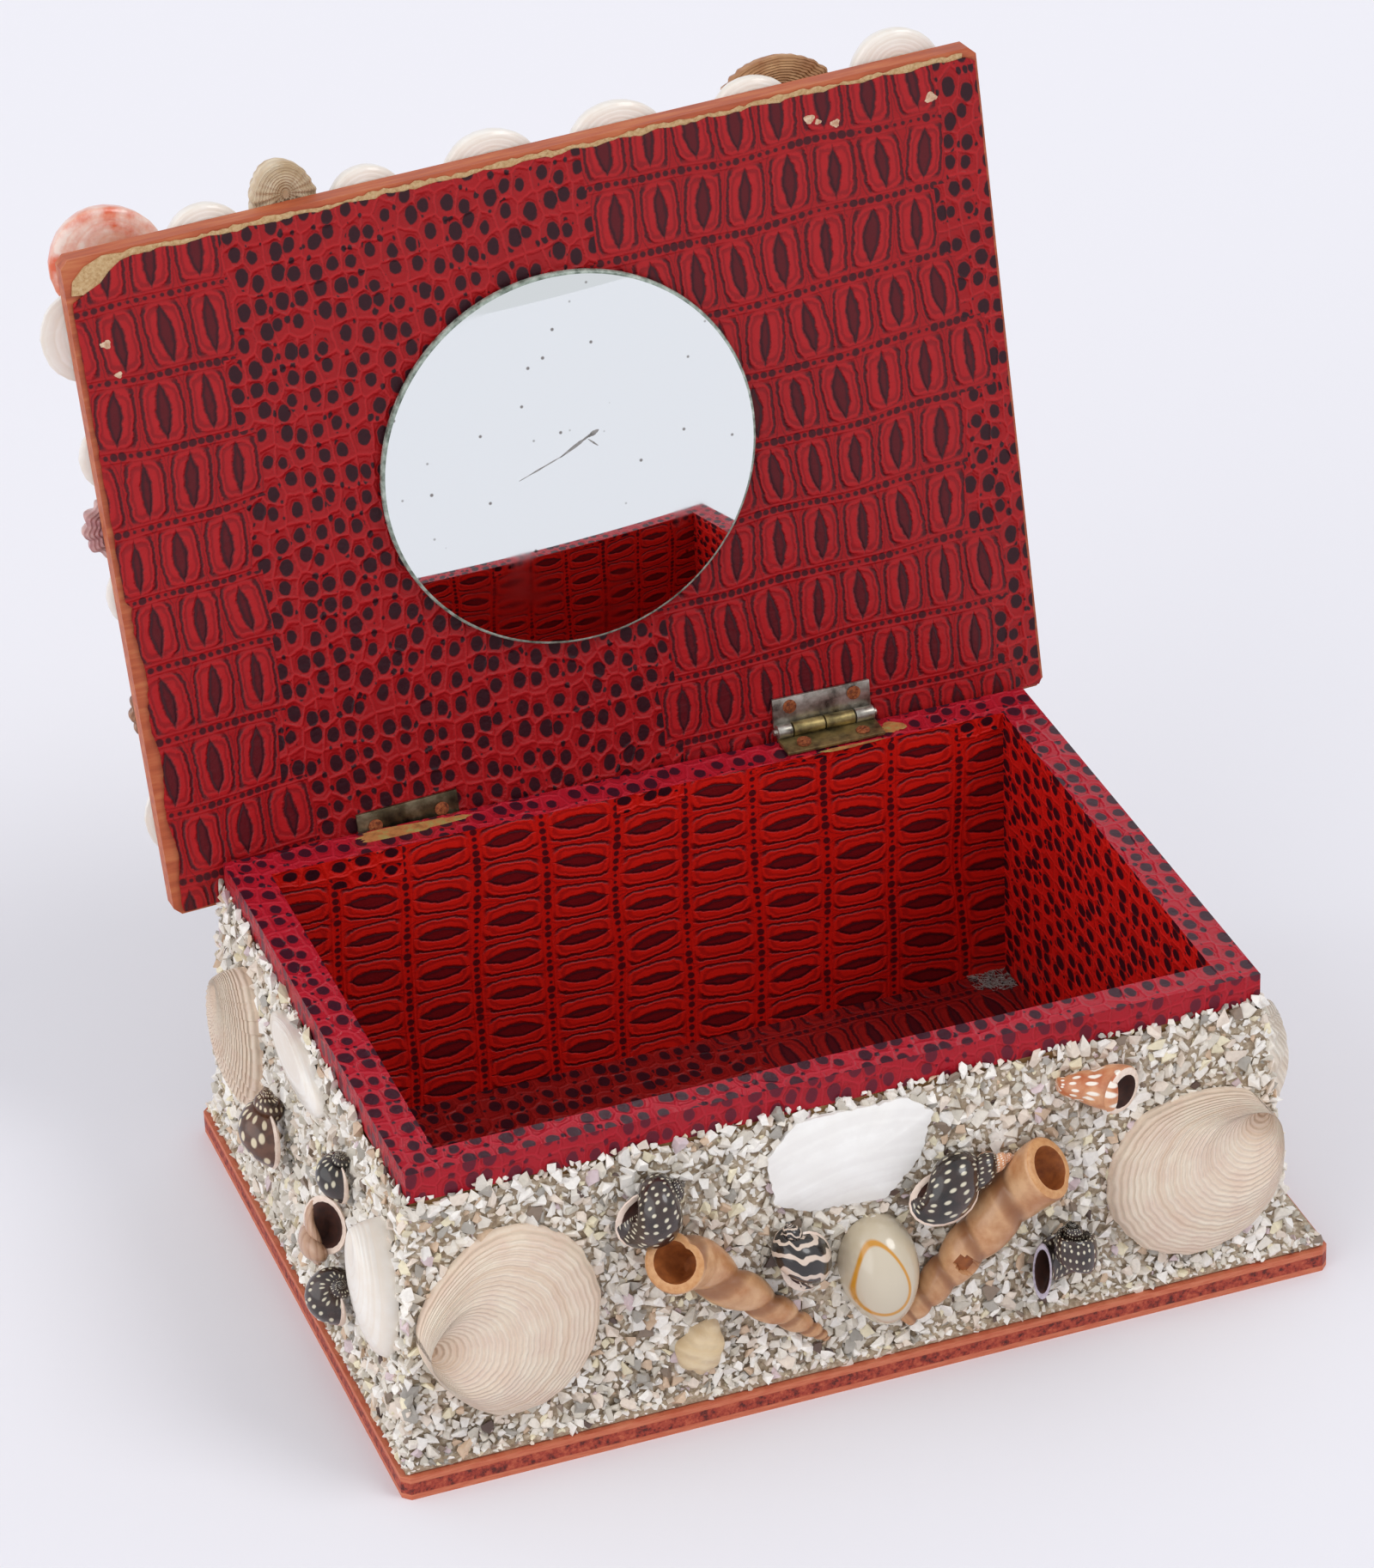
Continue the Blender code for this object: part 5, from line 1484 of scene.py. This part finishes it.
    def lid(self, random: Random) -> Spread:
        """Places the chips of the lid's outer side."""
        spread, seat = Spread(), PLAN.lid_seat()
        behind = np.array([-seat.right, seat.up, -seat.out])
        depth = -(PLAN.lid[2] + 1.75)
        for x in np.arange(-94.0, 94.5, self.lid_pitch[0]):
            for y in np.arange(-3.5, 134.5, self.lid_pitch[1]):
                dx, dy = random.normal(0, 0.5, 2)
                spread.add(np.array(PLAN.lid_seat(x + dx, y + dy, depth).origin), behind, 0.0)
        spread.sizes = list(random.uniform(*self.lid_size, len(spread.middles)))
        return spread

    def build(self) -> None:
        """Builds the grains of each side, and those on the lid's outer face."""
        look = self.grain.material()
        random = np.random.default_rng(self.seed)
        for side in ("front", "left", "right", "back"):
            self.scatter(f"grains_{side}", "box", self.wall(side, random), random, look)
        self.scatter("grains_lid", "lid", self.lid(random), random, look)


@dataclass(frozen=True)
class Papers:
    """The red crocodile paper inside the box, over its rim and in the lid, with its torn edges."""

    # One skin all over; its red follows the light and the wear of each side.
    lid_paper: EmbossedPaper = EmbossedPaper(
        "red crocodile-embossed paper, lid", Print.LID, shift=(0.0, -2.0), row=15.95
    )
    # Painted light: the brightest red, a lit copy of the same paper.
    back: EmbossedPaper = EmbossedPaper(
        "red crocodile-embossed paper, back wall", Print.BACK, "#D4170C", "#BC1109", "#DC2216",
        row=15.8, turned=True, shift=(2.0, 8.0),
    )
    # Painted light as well: the same bright red as the back's lit copy, in round scales.
    sides: EmbossedPaper = EmbossedPaper(
        "red crocodile-embossed paper, side walls", Print.SPOTS, "#D2160F", "#B8110C", "#D8241A", turned=True
    )
    # Dull and dark: painted shade, a shaded copy of the same paper for the box's floor.
    floor: EmbossedPaper = EmbossedPaper(
        "red crocodile-embossed paper, floor", Print.FLOOR, "#8E1210", "#7A0F0D", "#9C1C18"
    )
    # Rubbed shiny, with a rosy light along its edges.
    rim: EmbossedPaper = EmbossedPaper(
        "red crocodile-embossed paper, rubbed rim", Print.SPOTS, "#B4152A", "#9C0F20", "#BE2438",
        "#2A0818", "#3E0E22", roughness=0.36, gloss=0.38,
    )
    # Duller than the rim, and its print has nearly gone.
    band: EmbossedPaper = EmbossedPaper(
        "red crocodile-embossed paper, turned down", Print.SPOTS, "#AC1224", "#960E1C", "#B82030",
        "#560C20", "#6A1226", gloss=0.24,
    )
    # Matt tan fibres, with no shine at all.
    torn: PlainFinish = PlainFinish(
        "torn paper, its bare fibres", ((0.3, "#A98456"), (0.5, "#C2A072"), (0.75, "#D3B88E")),
        0.7, 0.9, 0.3 * MM,
    )

    def lining(self, pattern: NodeTree, node: Object) -> None:
        """Papers the box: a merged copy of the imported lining, with a place in millimetres on each side."""
        piece = node.copy()
        piece.data = node.data.copy()
        piece.name = "lining_embossed"
        bpy.context.scene.collection.objects.link(piece)
        shape = bmesh.new()
        shape.from_mesh(piece.data)
        bmesh.ops.remove_doubles(shape, verts=shape.verts, dist=0.001 * MM)
        bmesh.ops.dissolve_limit(shape, angle_limit=0.01, verts=shape.verts, edges=shape.edges)
        layer = shape.loops.layers.uv.new("place")
        for face in shape.faces:
            n, c = face.normal, face.calc_center_median() / MM
            if abs(n.z) > 0.5:
                axes, look = (0, 1), 3 if c.z > 60 else 2
            elif abs(n.y) > 0.5:
                axes, look = (0, 2), 0 if c.y > 40 or n.y > 0 else 4
            else:
                axes, look = (1, 2), 1 if abs(c.x + 3.3) < 86 else 4
            face.material_index = look
            for loop in face.loops:
                loop[layer].uv = (loop.vert.co[axes[0]] / MM, loop.vert.co[axes[1]] / MM)
        shape.to_mesh(piece.data)
        shape.free()
        # The back and side copies are painted light and the floor's copy is painted shade, all of one paper.
        finishes = (self.back, self.sides, self.floor, self.rim, self.band)
        looks = [finish.material(pattern) for finish in finishes]
        add_piece(piece, "box", "embossed_paper", *looks, replaces=(node.name,))

    def lid(self, pattern: NodeTree) -> None:
        """Papers the lid: an outline with torn edges, and the strip of bare fibres along its free edge."""
        random = np.random.default_rng(3)
        half, low, high = PLAN.lid[0] / 2 - 0.6, PLAN.lid_low + 0.6, PLAN.lid_top - 0.4
        edge = [(x, low + random.uniform(0, 0.25)) for x in np.linspace(-half + 1.5, half - 0.6, 60)]
        edge += [(half - random.uniform(0, 0.2), y) for y in np.linspace(low + 1.0, high - 2.5, 50)]
        for x in np.linspace(half - 2.0, -half + 13.0, 150):
            edge.append((x, high - 0.9 - 0.5 * math.sin(x * 0.32) ** 2 - random.uniform(0, 0.45)))
        # The free corner is torn off in a few long steps.
        edge += [(-half + 11.5, high - 1.9), (-half + 9.0, high - 3.5)]
        edge += [(-half + 6.8, high - 5.6), (-half + 3.2, high - 7.2)]
        edge += [(-half + 0.3 + random.uniform(0, 0.3), y) for y in np.linspace(high - 8.6, 64.0, 40)]
        for y in np.linspace(62.5, low + 0.6, 50):
            edge.append((-half + 1.5 + random.uniform(0, 0.4) + 0.5 * math.sin(y * 0.3), y))
        paper = MeshBuilder()
        paper.outline_solid(np.array(edge) * MM, PLAN.lid_seat(), 0.3 * MM, 0.7 * MM)
        made = paper.build("lid_paper_embossed", smooth=None)
        look = self.lid_paper.material(pattern)
        add_piece(made, "lid", "embossed_paper", look, replaces=("lid_lining_paper",))
        strip = []
        for x in np.linspace(-half + 12.0, half - 3.0, 80):
            strip.append((x, high - 2.1 + random.uniform(-0.2, 0.2)))
        for x in np.linspace(half - 2.6, -half + 8.0, 170):
            strip.append((x, high + 0.1 - 0.5 * math.sin(x * 0.11) ** 2 - random.uniform(0, 0.6)))
        strip += [(-half + 4.0, high - 1.6), (-half + 1.2, high - 4.2), (-half + 0.6, high - 7.0)]
        strip += [(-half + 5.0, high - 7.6), (-half + 9.0, high - 4.6)]
        torn = MeshBuilder()
        torn.outline_solid(np.array(strip) * MM, PLAN.lid_seat(), 0.05 * MM, 0.42 * MM)
        add_piece(torn.build("lid_torn_strip", smooth=None), "lid", "embossed_paper", self.torn.material())


@dataclass(frozen=True)
class Wear:
    """Marks of use: rubbed flecks on the lid's paper, bare patches by the hinges, and fluff in a corner."""

    flecks: tuple[Triple, ...] = (
        (-93.0, 120.0, 1.1), (-91.5, 113.0, 0.8), (61.0, 132.0, 1.2),
        (66.5, 129.8, 1.0), (88.0, 130.5, 1.3), (62.8, 131.0, 0.7),
    )
    patches: tuple[tuple[Pair, Pair], ...] = (
        ((-53.5, 57.6), (12.5, 1.9)), ((43.5, 51.9), (7.0, 0.6)), ((55.4, 55.8), (2.6, 2.2)),
    )
    fibres: int = 150
    # Dry and pale: the red is gone, and no light glints on it.
    fleck: PlainFinish = PlainFinish(
        "paper rubbed to its core", ((0.35, "#B98C6E"), (0.65, "#DCC2A4")), 1.1, 0.9
    )
    # Mottled from honey to olive, a little shinier where the glue is.
    patch: PlainFinish = PlainFinish(
        "bare wood and old glue", ((0.3, "#8A5A2C"), (0.5, "#B3743E"), (0.62, "#9C8A4A"), (0.8, "#C99A66")),
        2.4, 0.7, 0.3 * MM,
    )
    # Soft grey, with no highlight.
    fluff: PlainFinish = PlainFinish("grey dust and fluff", ((0.35, "#8E8A84"), (0.65, "#BDB9B2")), 1.1, 0.95)

    def blob(self, middle: Pair, size: Pair, random: Random) -> Points:
        """An irregular outline about a middle, in metres."""
        turns = np.linspace(0, math.tau, 28, endpoint=False)
        rough = 1 + 0.18 * np.sin(turns * 3 + random.uniform(0, 6)) + random.uniform(-0.12, 0.12, 28)
        x, y = middle[0] + size[0] * rough * np.cos(turns), middle[1] + size[1] * rough * np.sin(turns)
        return np.column_stack([x, y]) * MM

    def build(self) -> None:
        """Builds the marks on the lid and on the rim, and the fluff."""
        random = np.random.default_rng(17)
        flecks = MeshBuilder()
        for x, y, size in self.flecks:
            outline = self.blob((x, y), (size, size * 0.8), random)
            flecks.outline_solid(outline, PLAN.lid_seat(), 0.7 * MM, 0.74 * MM)
        made = flecks.build("lid_rubbed_flecks", smooth=None)
        add_piece(made, "lid", "embossed_paper", self.fleck.material())
        rim = Seat(Vector((0, 0, 0)), Vector((1, 0, 0)), Vector((0, 1, 0)), Vector((0, 0, 1)))
        patches = MeshBuilder()
        for middle, size in self.patches:
            patches.outline_solid(self.blob(middle, size, random), rim, 72.28 * MM, 72.34 * MM)
        add_piece(patches.build("rim_bare_patches", smooth=None), "box", "bare_wood", self.patch.material())
        fibres = MeshBuilder()
        for _ in range(self.fibres):
            x, y, z = random.uniform(70.5, 78.8), random.uniform(44.5, 51.2), random.uniform(6.1, 6.4)
            start = np.array([x, y, z])
            if start[0] + start[1] < 119.0:
                continue
            heading = random.uniform(0, math.tau)
            rings = []
            for _ in range(7):
                heading += random.normal(0, 0.7)
                step = np.array([math.cos(heading), math.sin(heading), random.uniform(-0.1, 0.3)]) * 0.55
                start = np.clip(start + step, (70.0, 44.0, 6.12), (79.1, 51.5, 8.8))
                ring = [start + 0.07 * np.array([0, math.cos(a), math.sin(a)]) for a in (0.0, 2.1, 4.2)]
                rings.append(ring)
            fibres.grid(np.array(rings) * MM, np.zeros((7, 4, 2)))
        add_piece(fibres.build("corner_fluff"), "box", "embossed_paper", self.fluff.material())


@dataclass(frozen=True)
class Mirror:
    """A round mirror: glass with a ground edge, silvered behind, with specks where the silver has gone."""

    radius: float = 41.2
    thickness: float = 2.0
    place: Pair = (-0.6, 71.8)
    streaks: tuple[tuple[float, float, float, float, float], ...] = (
        (-12.4, 69.9, -2.0, 73.2, 0.35), (-3.0, 72.8, 4.6, 76.4, 0.75),
        (3.4, 75.8, 6.2, 76.9, 0.95), (3.6, 75.4, 5.6, 73.4, 0.4),
    )
    # Dull grey against the mirror's sharp reflections.
    tarnish: PlainFinish = PlainFinish(
        "tarnished silver", ((0.35, "#7C7A76"), (0.65, "#A5A3A0")), 1.4, 0.5, 0.02 * MM
    )
    # A thin grey-green line that glints where the bevel turns to the light.
    edge: PlainFinish = PlainFinish(
        "ground glass edge, grey-green, chipped", ((0.35, "#5E6A5E"), (0.55, "#9AA69A"), (0.8, "#CBD2C8")),
        2.0, 0.25, 0.1 * MM,
    )

    def silver(self) -> Material:
        """Silver behind glass: sharp reflections, with a few dark specks and a faint haze."""
        made, tree, shader = new_material("silvered glass, spotted with age")
        add = partial(add_node, tree)
        place = add("TexCoord").outputs["Object"]
        specks = add("TexVoronoi", {"Vector": place, "Scale": 1 / (5.3 * MM)})
        speck = add("MapRange", {0: specks.outputs["Distance"], "From Min": 0.05, "From Max": 0.09})
        haze = add("TexNoise", {"Vector": place, "Scale": 1 / (17.0 * MM), "Detail": 4.0})
        dull = add("MapRange", {0: haze, "From Min": 0.5, "From Max": 0.8, "To Min": 0.015, "To Max": 0.12})
        tone = add("Mix", {0: speck, 6: linear("#8A8682"), 7: linear("#EEF2F1")}, data_type="RGBA")
        tree.links.new(tone.outputs[2], shader.inputs["Base Color"])
        tree.links.new(dull.outputs[0], shader.inputs["Roughness"])
        shader.inputs["Metallic"].default_value = 1.0
        return made

    def build(self) -> None:
        """Builds the disc: its face, a ground bevel and its edge."""
        seat = PLAN.lid_seat(*self.place, 1.0)
        middle = seat.moved(0, 0, self.thickness / 2 * MM)
        disc = primitive(
            "mirror_disc", bpy.ops.mesh.primitive_cylinder_add, middle, (1, 1, 1), vertices=160,
            radius=self.radius * MM, depth=self.thickness * MM,
        )
        bevelled(disc, 0.7 * MM, 3)
        add_piece(disc, "lid", "mirror_glass", self.silver(), self.edge.material(), replaces=("mirror",))
        for face in disc.data.polygons:
            face.material_index = 0 if face.normal.dot(seat.out) > 0.97 else 1
        # A twig-like mark, where the silver has gone.
        random = np.random.default_rng(23)
        mark = MeshBuilder()
        face_depth = 1.0 + self.thickness
        for x0, y0, x1, y1, width in self.streaks:
            along = np.linspace(0, 1, 12)[:, None]
            line = np.array([x0, y0]) + along * np.array([x1 - x0, y1 - y0])
            aside = np.array([y0 - y1, x1 - x0]) / math.hypot(x1 - x0, y1 - y0)
            wide = width * (0.35 + 0.65 * np.sin(math.pi * along)) * random.uniform(0.6, 1.2, (12, 1))
            outline = np.vstack([line - wide / 2 * aside, (line + wide / 2 * aside)[::-1]])
            mark.outline_solid(outline * MM, PLAN.lid_seat(), face_depth * MM, (face_depth + 0.02) * MM)
        add_piece(mark.build("mirror_tarnish", smooth=None), "lid", "mirror_glass", self.tarnish.material())


@dataclass(frozen=True)
class Hinges:
    """The right hinge, whole, and the one leaf that is left of the left hinge, with their screws."""

    width: float = 22.5
    leaf: float = 0.8
    leaf_length: float = 5.2
    barrel: float = 1.6
    pin: float = 0.7
    right_x: float = 44.6
    left_x: float = -46.6
    left_length: float = 7.4
    left_top: float = 4.2
    knuckles: tuple[tuple[float, str], ...] = ((0.16, "lid"), (0.33, "box"), (0.31, "box"), (0.20, "lid"))
    # Bright and hard, with dark patches where the plating has gone.
    nickel: PlainFinish = PlainFinish(
        "nickelled steel, tarnished", ((0.3, "#3A3530"), (0.45, "#8E887E"), (0.7, "#C9C5BC")),
        3.8, 0.34, 0.06 * MM, 0.85,
    )
    # The same shine, but most of it worn down to dark yellow.
    bronze: PlainFinish = PlainFinish(
        "nickel worn to dark brass", ((0.3, "#2A241C"), (0.5, "#5E543E"), (0.75, "#A0967A")),
        5.0, 0.34, 0.06 * MM, 0.85,
    )
    # Duller, yellow-green metal with soft highlights.
    brass: PlainFinish = PlainFinish(
        "old brass, greenish and dull", ((0.3, "#4E4632"), (0.5, "#8A7A50"), (0.75, "#B5A06A")),
        3.1, 0.42, 0.06 * MM, 0.8,
    )
    # Rough red-brown dots that hardly shine.
    rust: PlainFinish = PlainFinish(
        "rusted steel screw", ((0.3, "#4A2212"), (0.5, "#8A4420"), (0.75, "#B3703F")),
        0.7, 0.75, 0.15 * MM, 0.2,
    )

    def plate(self, name: str, seat: Seat, length: float, centre: float) -> Object:
        """A leaf's flat plate with softened edges: its length along the seat's up axis."""
        size = (self.width * MM, length * MM, self.leaf * MM)
        made = primitive(name, bpy.ops.mesh.primitive_cube_add, seat.moved(0, centre * MM, 0), size, size=1)
        return bevelled(made, 0.22 * MM)

    def screw(self, name: str, seat: Seat, stand: float = 0.35) -> Object:
        """A slotted screw head: a low dome, with its slot cut by a box."""
        head = primitive(
            name, bpy.ops.mesh.primitive_cylinder_add, seat.moved(0, 0, stand / 2 * MM, 35), (1, 1, 1),
            vertices=32, radius=1.55 * MM, depth=stand * MM,
        )
        bevelled(head, 0.14 * MM)
        top, size = seat.moved(0, 0, stand * MM, 35), (3.4 * MM, 0.4 * MM, 0.3 * MM)
        slot = primitive(f"{name}_slot", bpy.ops.mesh.primitive_cube_add, top, size, size=1)
        cut = head.modifiers.new("slot", "BOOLEAN")
        cut.object = slot
        bpy.ops.object.select_all(action="DESELECT")
        bpy.context.view_layer.objects.active = head
        head.select_set(True)
        bpy.ops.object.modifier_apply(modifier=cut.name)
        bpy.data.objects.remove(slot)
        return head

    def barrel_parts(self, owner: str, axis: Seat) -> list[Object]:
        """The knuckles that belong to one leaf."""
        made, start = [], -self.width / 2
        for number, (share, leaf) in enumerate(self.knuckles):
            length = share * self.width
            if leaf == owner:
                across = Seat(axis.origin, axis.up, axis.out, axis.right)
                across = across.moved(0, 0, (start + length / 2) * MM)
                knuckle = primitive(
                    f"knuckle_{owner}_{number}", bpy.ops.mesh.primitive_cylinder_add, across, (1, 1, 1),
                    vertices=28, radius=self.barrel * MM, depth=(length - 0.3) * MM,
                )
                made.append(bevelled(knuckle, 0.2 * MM))
            start += length
        return made

    def fit(
        self, name: str, node: str, body: str, leaf: list[Object], seat: Seat,
        heads: tuple[Triple, ...], *metals: Material,
    ) -> None:
        """Joins a leaf and its screws as one piece that stands for a node.

        Args:
            name: The piece's name.
            node: The node that it stands for.
            body: The body that it rides on.
            leaf: The plate and its knuckles.
            seat: The middle of the plate's thickness, at the origin that the screws are measured from.
            heads: Each screw's place along the seat's two axes, and how far its head stands up.
            metals: The leaf's material and the screws'.
        """
        screws = [
            self.screw(f"screw_{name}_{i}", seat.moved(x * MM, y * MM, self.leaf / 2 * MM), stand)
            for i, (x, y, stand) in enumerate(heads)
        ]
        for parts, metal in zip((leaf, screws), metals):
            for part in parts:
                part.data.materials.append(metal)
        add_piece(joined(name, leaf + screws), body, "old_brass", replaces=(node,))

    def build(self) -> None:
        """Builds both hinges."""
        nickel, brass, rust = self.nickel.material(), self.brass.material(), self.rust.material()
        axis = Vector((PLAN.shift[0] + self.right_x, *PLAN.axis)) * MM
        right, lean = Vector((1, 0, 0)), math.radians(PLAN.lid_lean)
        upright = Vector((0, math.sin(lean), math.cos(lean)))
        rim = Seat(axis, right, Vector((0, 1, 0)), Vector((0, 0, 1)))
        stand = Seat(axis, right, upright, right.cross(upright))
        length = self.leaf_length + 1.6
        middle = self.barrel + 0.3 + self.leaf_length / 2 - 0.8

        on_rim = rim.moved(0, 0, -self.barrel * MM)
        leaf = [self.plate("leaf_box", on_rim, length, -middle), *self.barrel_parts("box", rim)]
        heads = ((-6.6, -4.6, 0.9), (7.0, -4.6, 0.35))
        self.fit("hinge_right_rim_leaf", "hinge_right_box_leaf", "box", leaf, on_rim, heads, brass, rust)

        rod_seat = Seat(axis, Vector((0, 1, 0)), Vector((0, 0, 1)), right)
        pin = primitive(
            "hinge_right_rod", bpy.ops.mesh.primitive_cylinder_add, rod_seat, (1, 1, 1),
            vertices=20, radius=self.pin * MM, depth=(self.width + 1.2) * MM,
        )
        add_piece(bevelled(pin, 0.15 * MM), "box", "old_brass", nickel, replaces=("hinge_right_pin",))

        on_lid = stand.moved(0, 0, -self.barrel * MM)
        leaf = [self.plate("leaf_lid", on_lid, length, middle), *self.barrel_parts("lid", stand)]
        heads = ((-7.4, 4.9, 0.35), (7.4, 4.9, 0.35))
        self.fit(
            "hinge_right_standing_leaf", "hinge_right_lid_leaf", "lid", leaf, on_lid, heads, nickel, rust
        )

        dropped = PLAN.lid_seat(self.left_x, self.left_top, 1.0 + self.leaf / 2)
        leaf = [self.plate("leaf_left", dropped, self.left_length, -self.left_length / 2)]
        heads = ((-7.4, -3.4, 0.35), (7.4, -3.4, 0.35))
        worn = self.bronze.material()
        self.fit("hinge_left_plate", "hinge_left_lid_leaf", "lid", leaf, dropped, heads, worn, rust)


@dataclass(frozen=True)
class Boards:
    """The finishes of the boards, walls and glue under the grains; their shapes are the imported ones."""

    ply: StainedPly = StainedPly()
    # Rough and brownish: real glue, whose brown is also painted shade so that the gaps between the grains
    # look deep.
    glue: PlainFinish = PlainFinish(
        "brown glue over crushed shell, painted shade in the gaps", ((0.3, "#7C6852"), (0.5, "#A8957C"), (0.7, "#CDC0AC")),
        1.4, 0.55, 0.6 * MM,
    )
    # Long honey streaks, hardly shining.
    bare: PlainFinish = PlainFinish(
        "bare pine, rough sawn", ((0.3, "#B98A55"), (0.7, "#D3AA74")),
        11.0, 0.7, 0.15 * MM, stretch=(1.0, 1.0, 12.0),
    )
    # Warm orange streaks along the board, with a low sheen.
    lid: PlainFinish = PlainFinish(
        "three-ply board stained orange", ((0.3, "#9C4628"), (0.5, "#B35833"), (0.75, "#C77A4C")),
        17.0, 0.55, 0.15 * MM, stretch=(1.0, 9.0, 9.0),
    )

    def build(self, nodes: dict[str, Object]) -> None:
        """Gives each carried-over node its finish."""
        ply, glue = self.ply.material(), self.glue.material()
        bare, lid = self.bare.material(), self.lid.material()
        looks = {"base_board": ply, "lid_board": lid}
        looks |= dict.fromkeys(("crushed_shell_coat", "lid_crushed_shell_bed"), glue)
        looks |= dict.fromkeys(("front_wall", "back_wall", "left_wall", "right_wall"), bare)
        for name, look in looks.items():
            nodes[name].data.materials.clear()
            nodes[name].data.materials.append(look)
        LOG.info("%d packed pieces carry finishes", len(looks))


@dataclass(frozen=True)
class Studio:
    """A pale floor, soft light from the right, a broad fill from the left, and the photo's viewing angle."""

    floor_tone: str = "#EAE9EE"
    lights: tuple[tuple[str, Triple, float, float], ...] = (
        ("key light", (0.62, -0.52, 0.95), 24.0, 0.75),
        ("fill light", (-1.0, -0.25, 0.33), 70.0, 1.25),
    )
    world: float = 0.83
    camera_place: Triple = (-357.47, -1012.94, 757.03)
    camera_right: Triple = (0.936674, -0.348717, -0.032220)
    camera_down: Triple = (-0.207239, -0.477782, -0.853684)
    lens: float = 161.97
    shift: Pair = (-0.02815, -0.00244)

    def build(self) -> None:
        """Builds the floor, the lights, the world and the camera."""
        bpy.ops.object.select_all(action="DESELECT")
        bpy.ops.mesh.primitive_plane_add(size=60.0)
        floor = bpy.context.object
        floor.name = "studio_floor"
        made, _, shader = new_material("pale paper backdrop")
        shader.inputs["Base Color"].default_value = linear(self.floor_tone)
        shader.inputs["Roughness"].default_value = 0.9
        floor.data.materials.append(made)
        floor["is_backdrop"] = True
        scene = bpy.context.scene
        for name, place, spread, strength in self.lights:
            light = bpy.data.lights.new(name, "SUN")
            light.angle = math.radians(spread)
            light.energy = strength
            holder = bpy.data.objects.new(name, light)
            scene.collection.objects.link(holder)
            holder.location = place
            holder.rotation_euler = Vector(place).to_track_quat("Z", "Y").to_euler()
        world = bpy.data.worlds.new("white studio")
        world.use_nodes = True
        world.node_tree.nodes["Background"].inputs["Color"].default_value = linear("#F4F5FA")
        world.node_tree.nodes["Background"].inputs["Strength"].default_value = self.world
        scene.world = world
        camera = bpy.data.cameras.new("photo angle")
        camera.sensor_fit = "HORIZONTAL"
        camera.sensor_width = 36.0
        camera.lens = self.lens
        camera.shift_x, camera.shift_y = self.shift
        camera.clip_end = 20.0
        holder = bpy.data.objects.new("photo angle", camera)
        scene.collection.objects.link(holder)
        right, down = Vector(self.camera_right).normalized(), Vector(self.camera_down).normalized()
        back = right.cross(-down)
        rows = [(right[i], -down[i], back[i], self.camera_place[i] * MM) for i in range(3)]
        holder.matrix_world = Matrix((*rows, (0, 0, 0, 1)))
        scene.camera = holder
        scene.view_settings.view_transform = "Standard"


def main() -> None:
    """Builds the object's finishes and detailed pieces, and then the studio."""
    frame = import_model()
    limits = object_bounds()
    pattern = CrocodilePrint().group()
    Boards().build(frame["nodes"])
    papers = Papers()
    papers.lining(pattern, frame["nodes"]["lining_paper"])
    papers.lid(pattern)
    Wear().build()
    Mirror().build()
    Hinges().build()
    skins = {skin: skin.value.material() for skin in Skin}
    Shells().build(wall_shells() + lid_shells(), skins, limits)
    LidRows().build(skins, limits)
    CrushedShell().build()
    Studio().build()


if __name__ == "__main__":
    logging.basicConfig(level=logging.INFO, format="%(message)s")
    main()
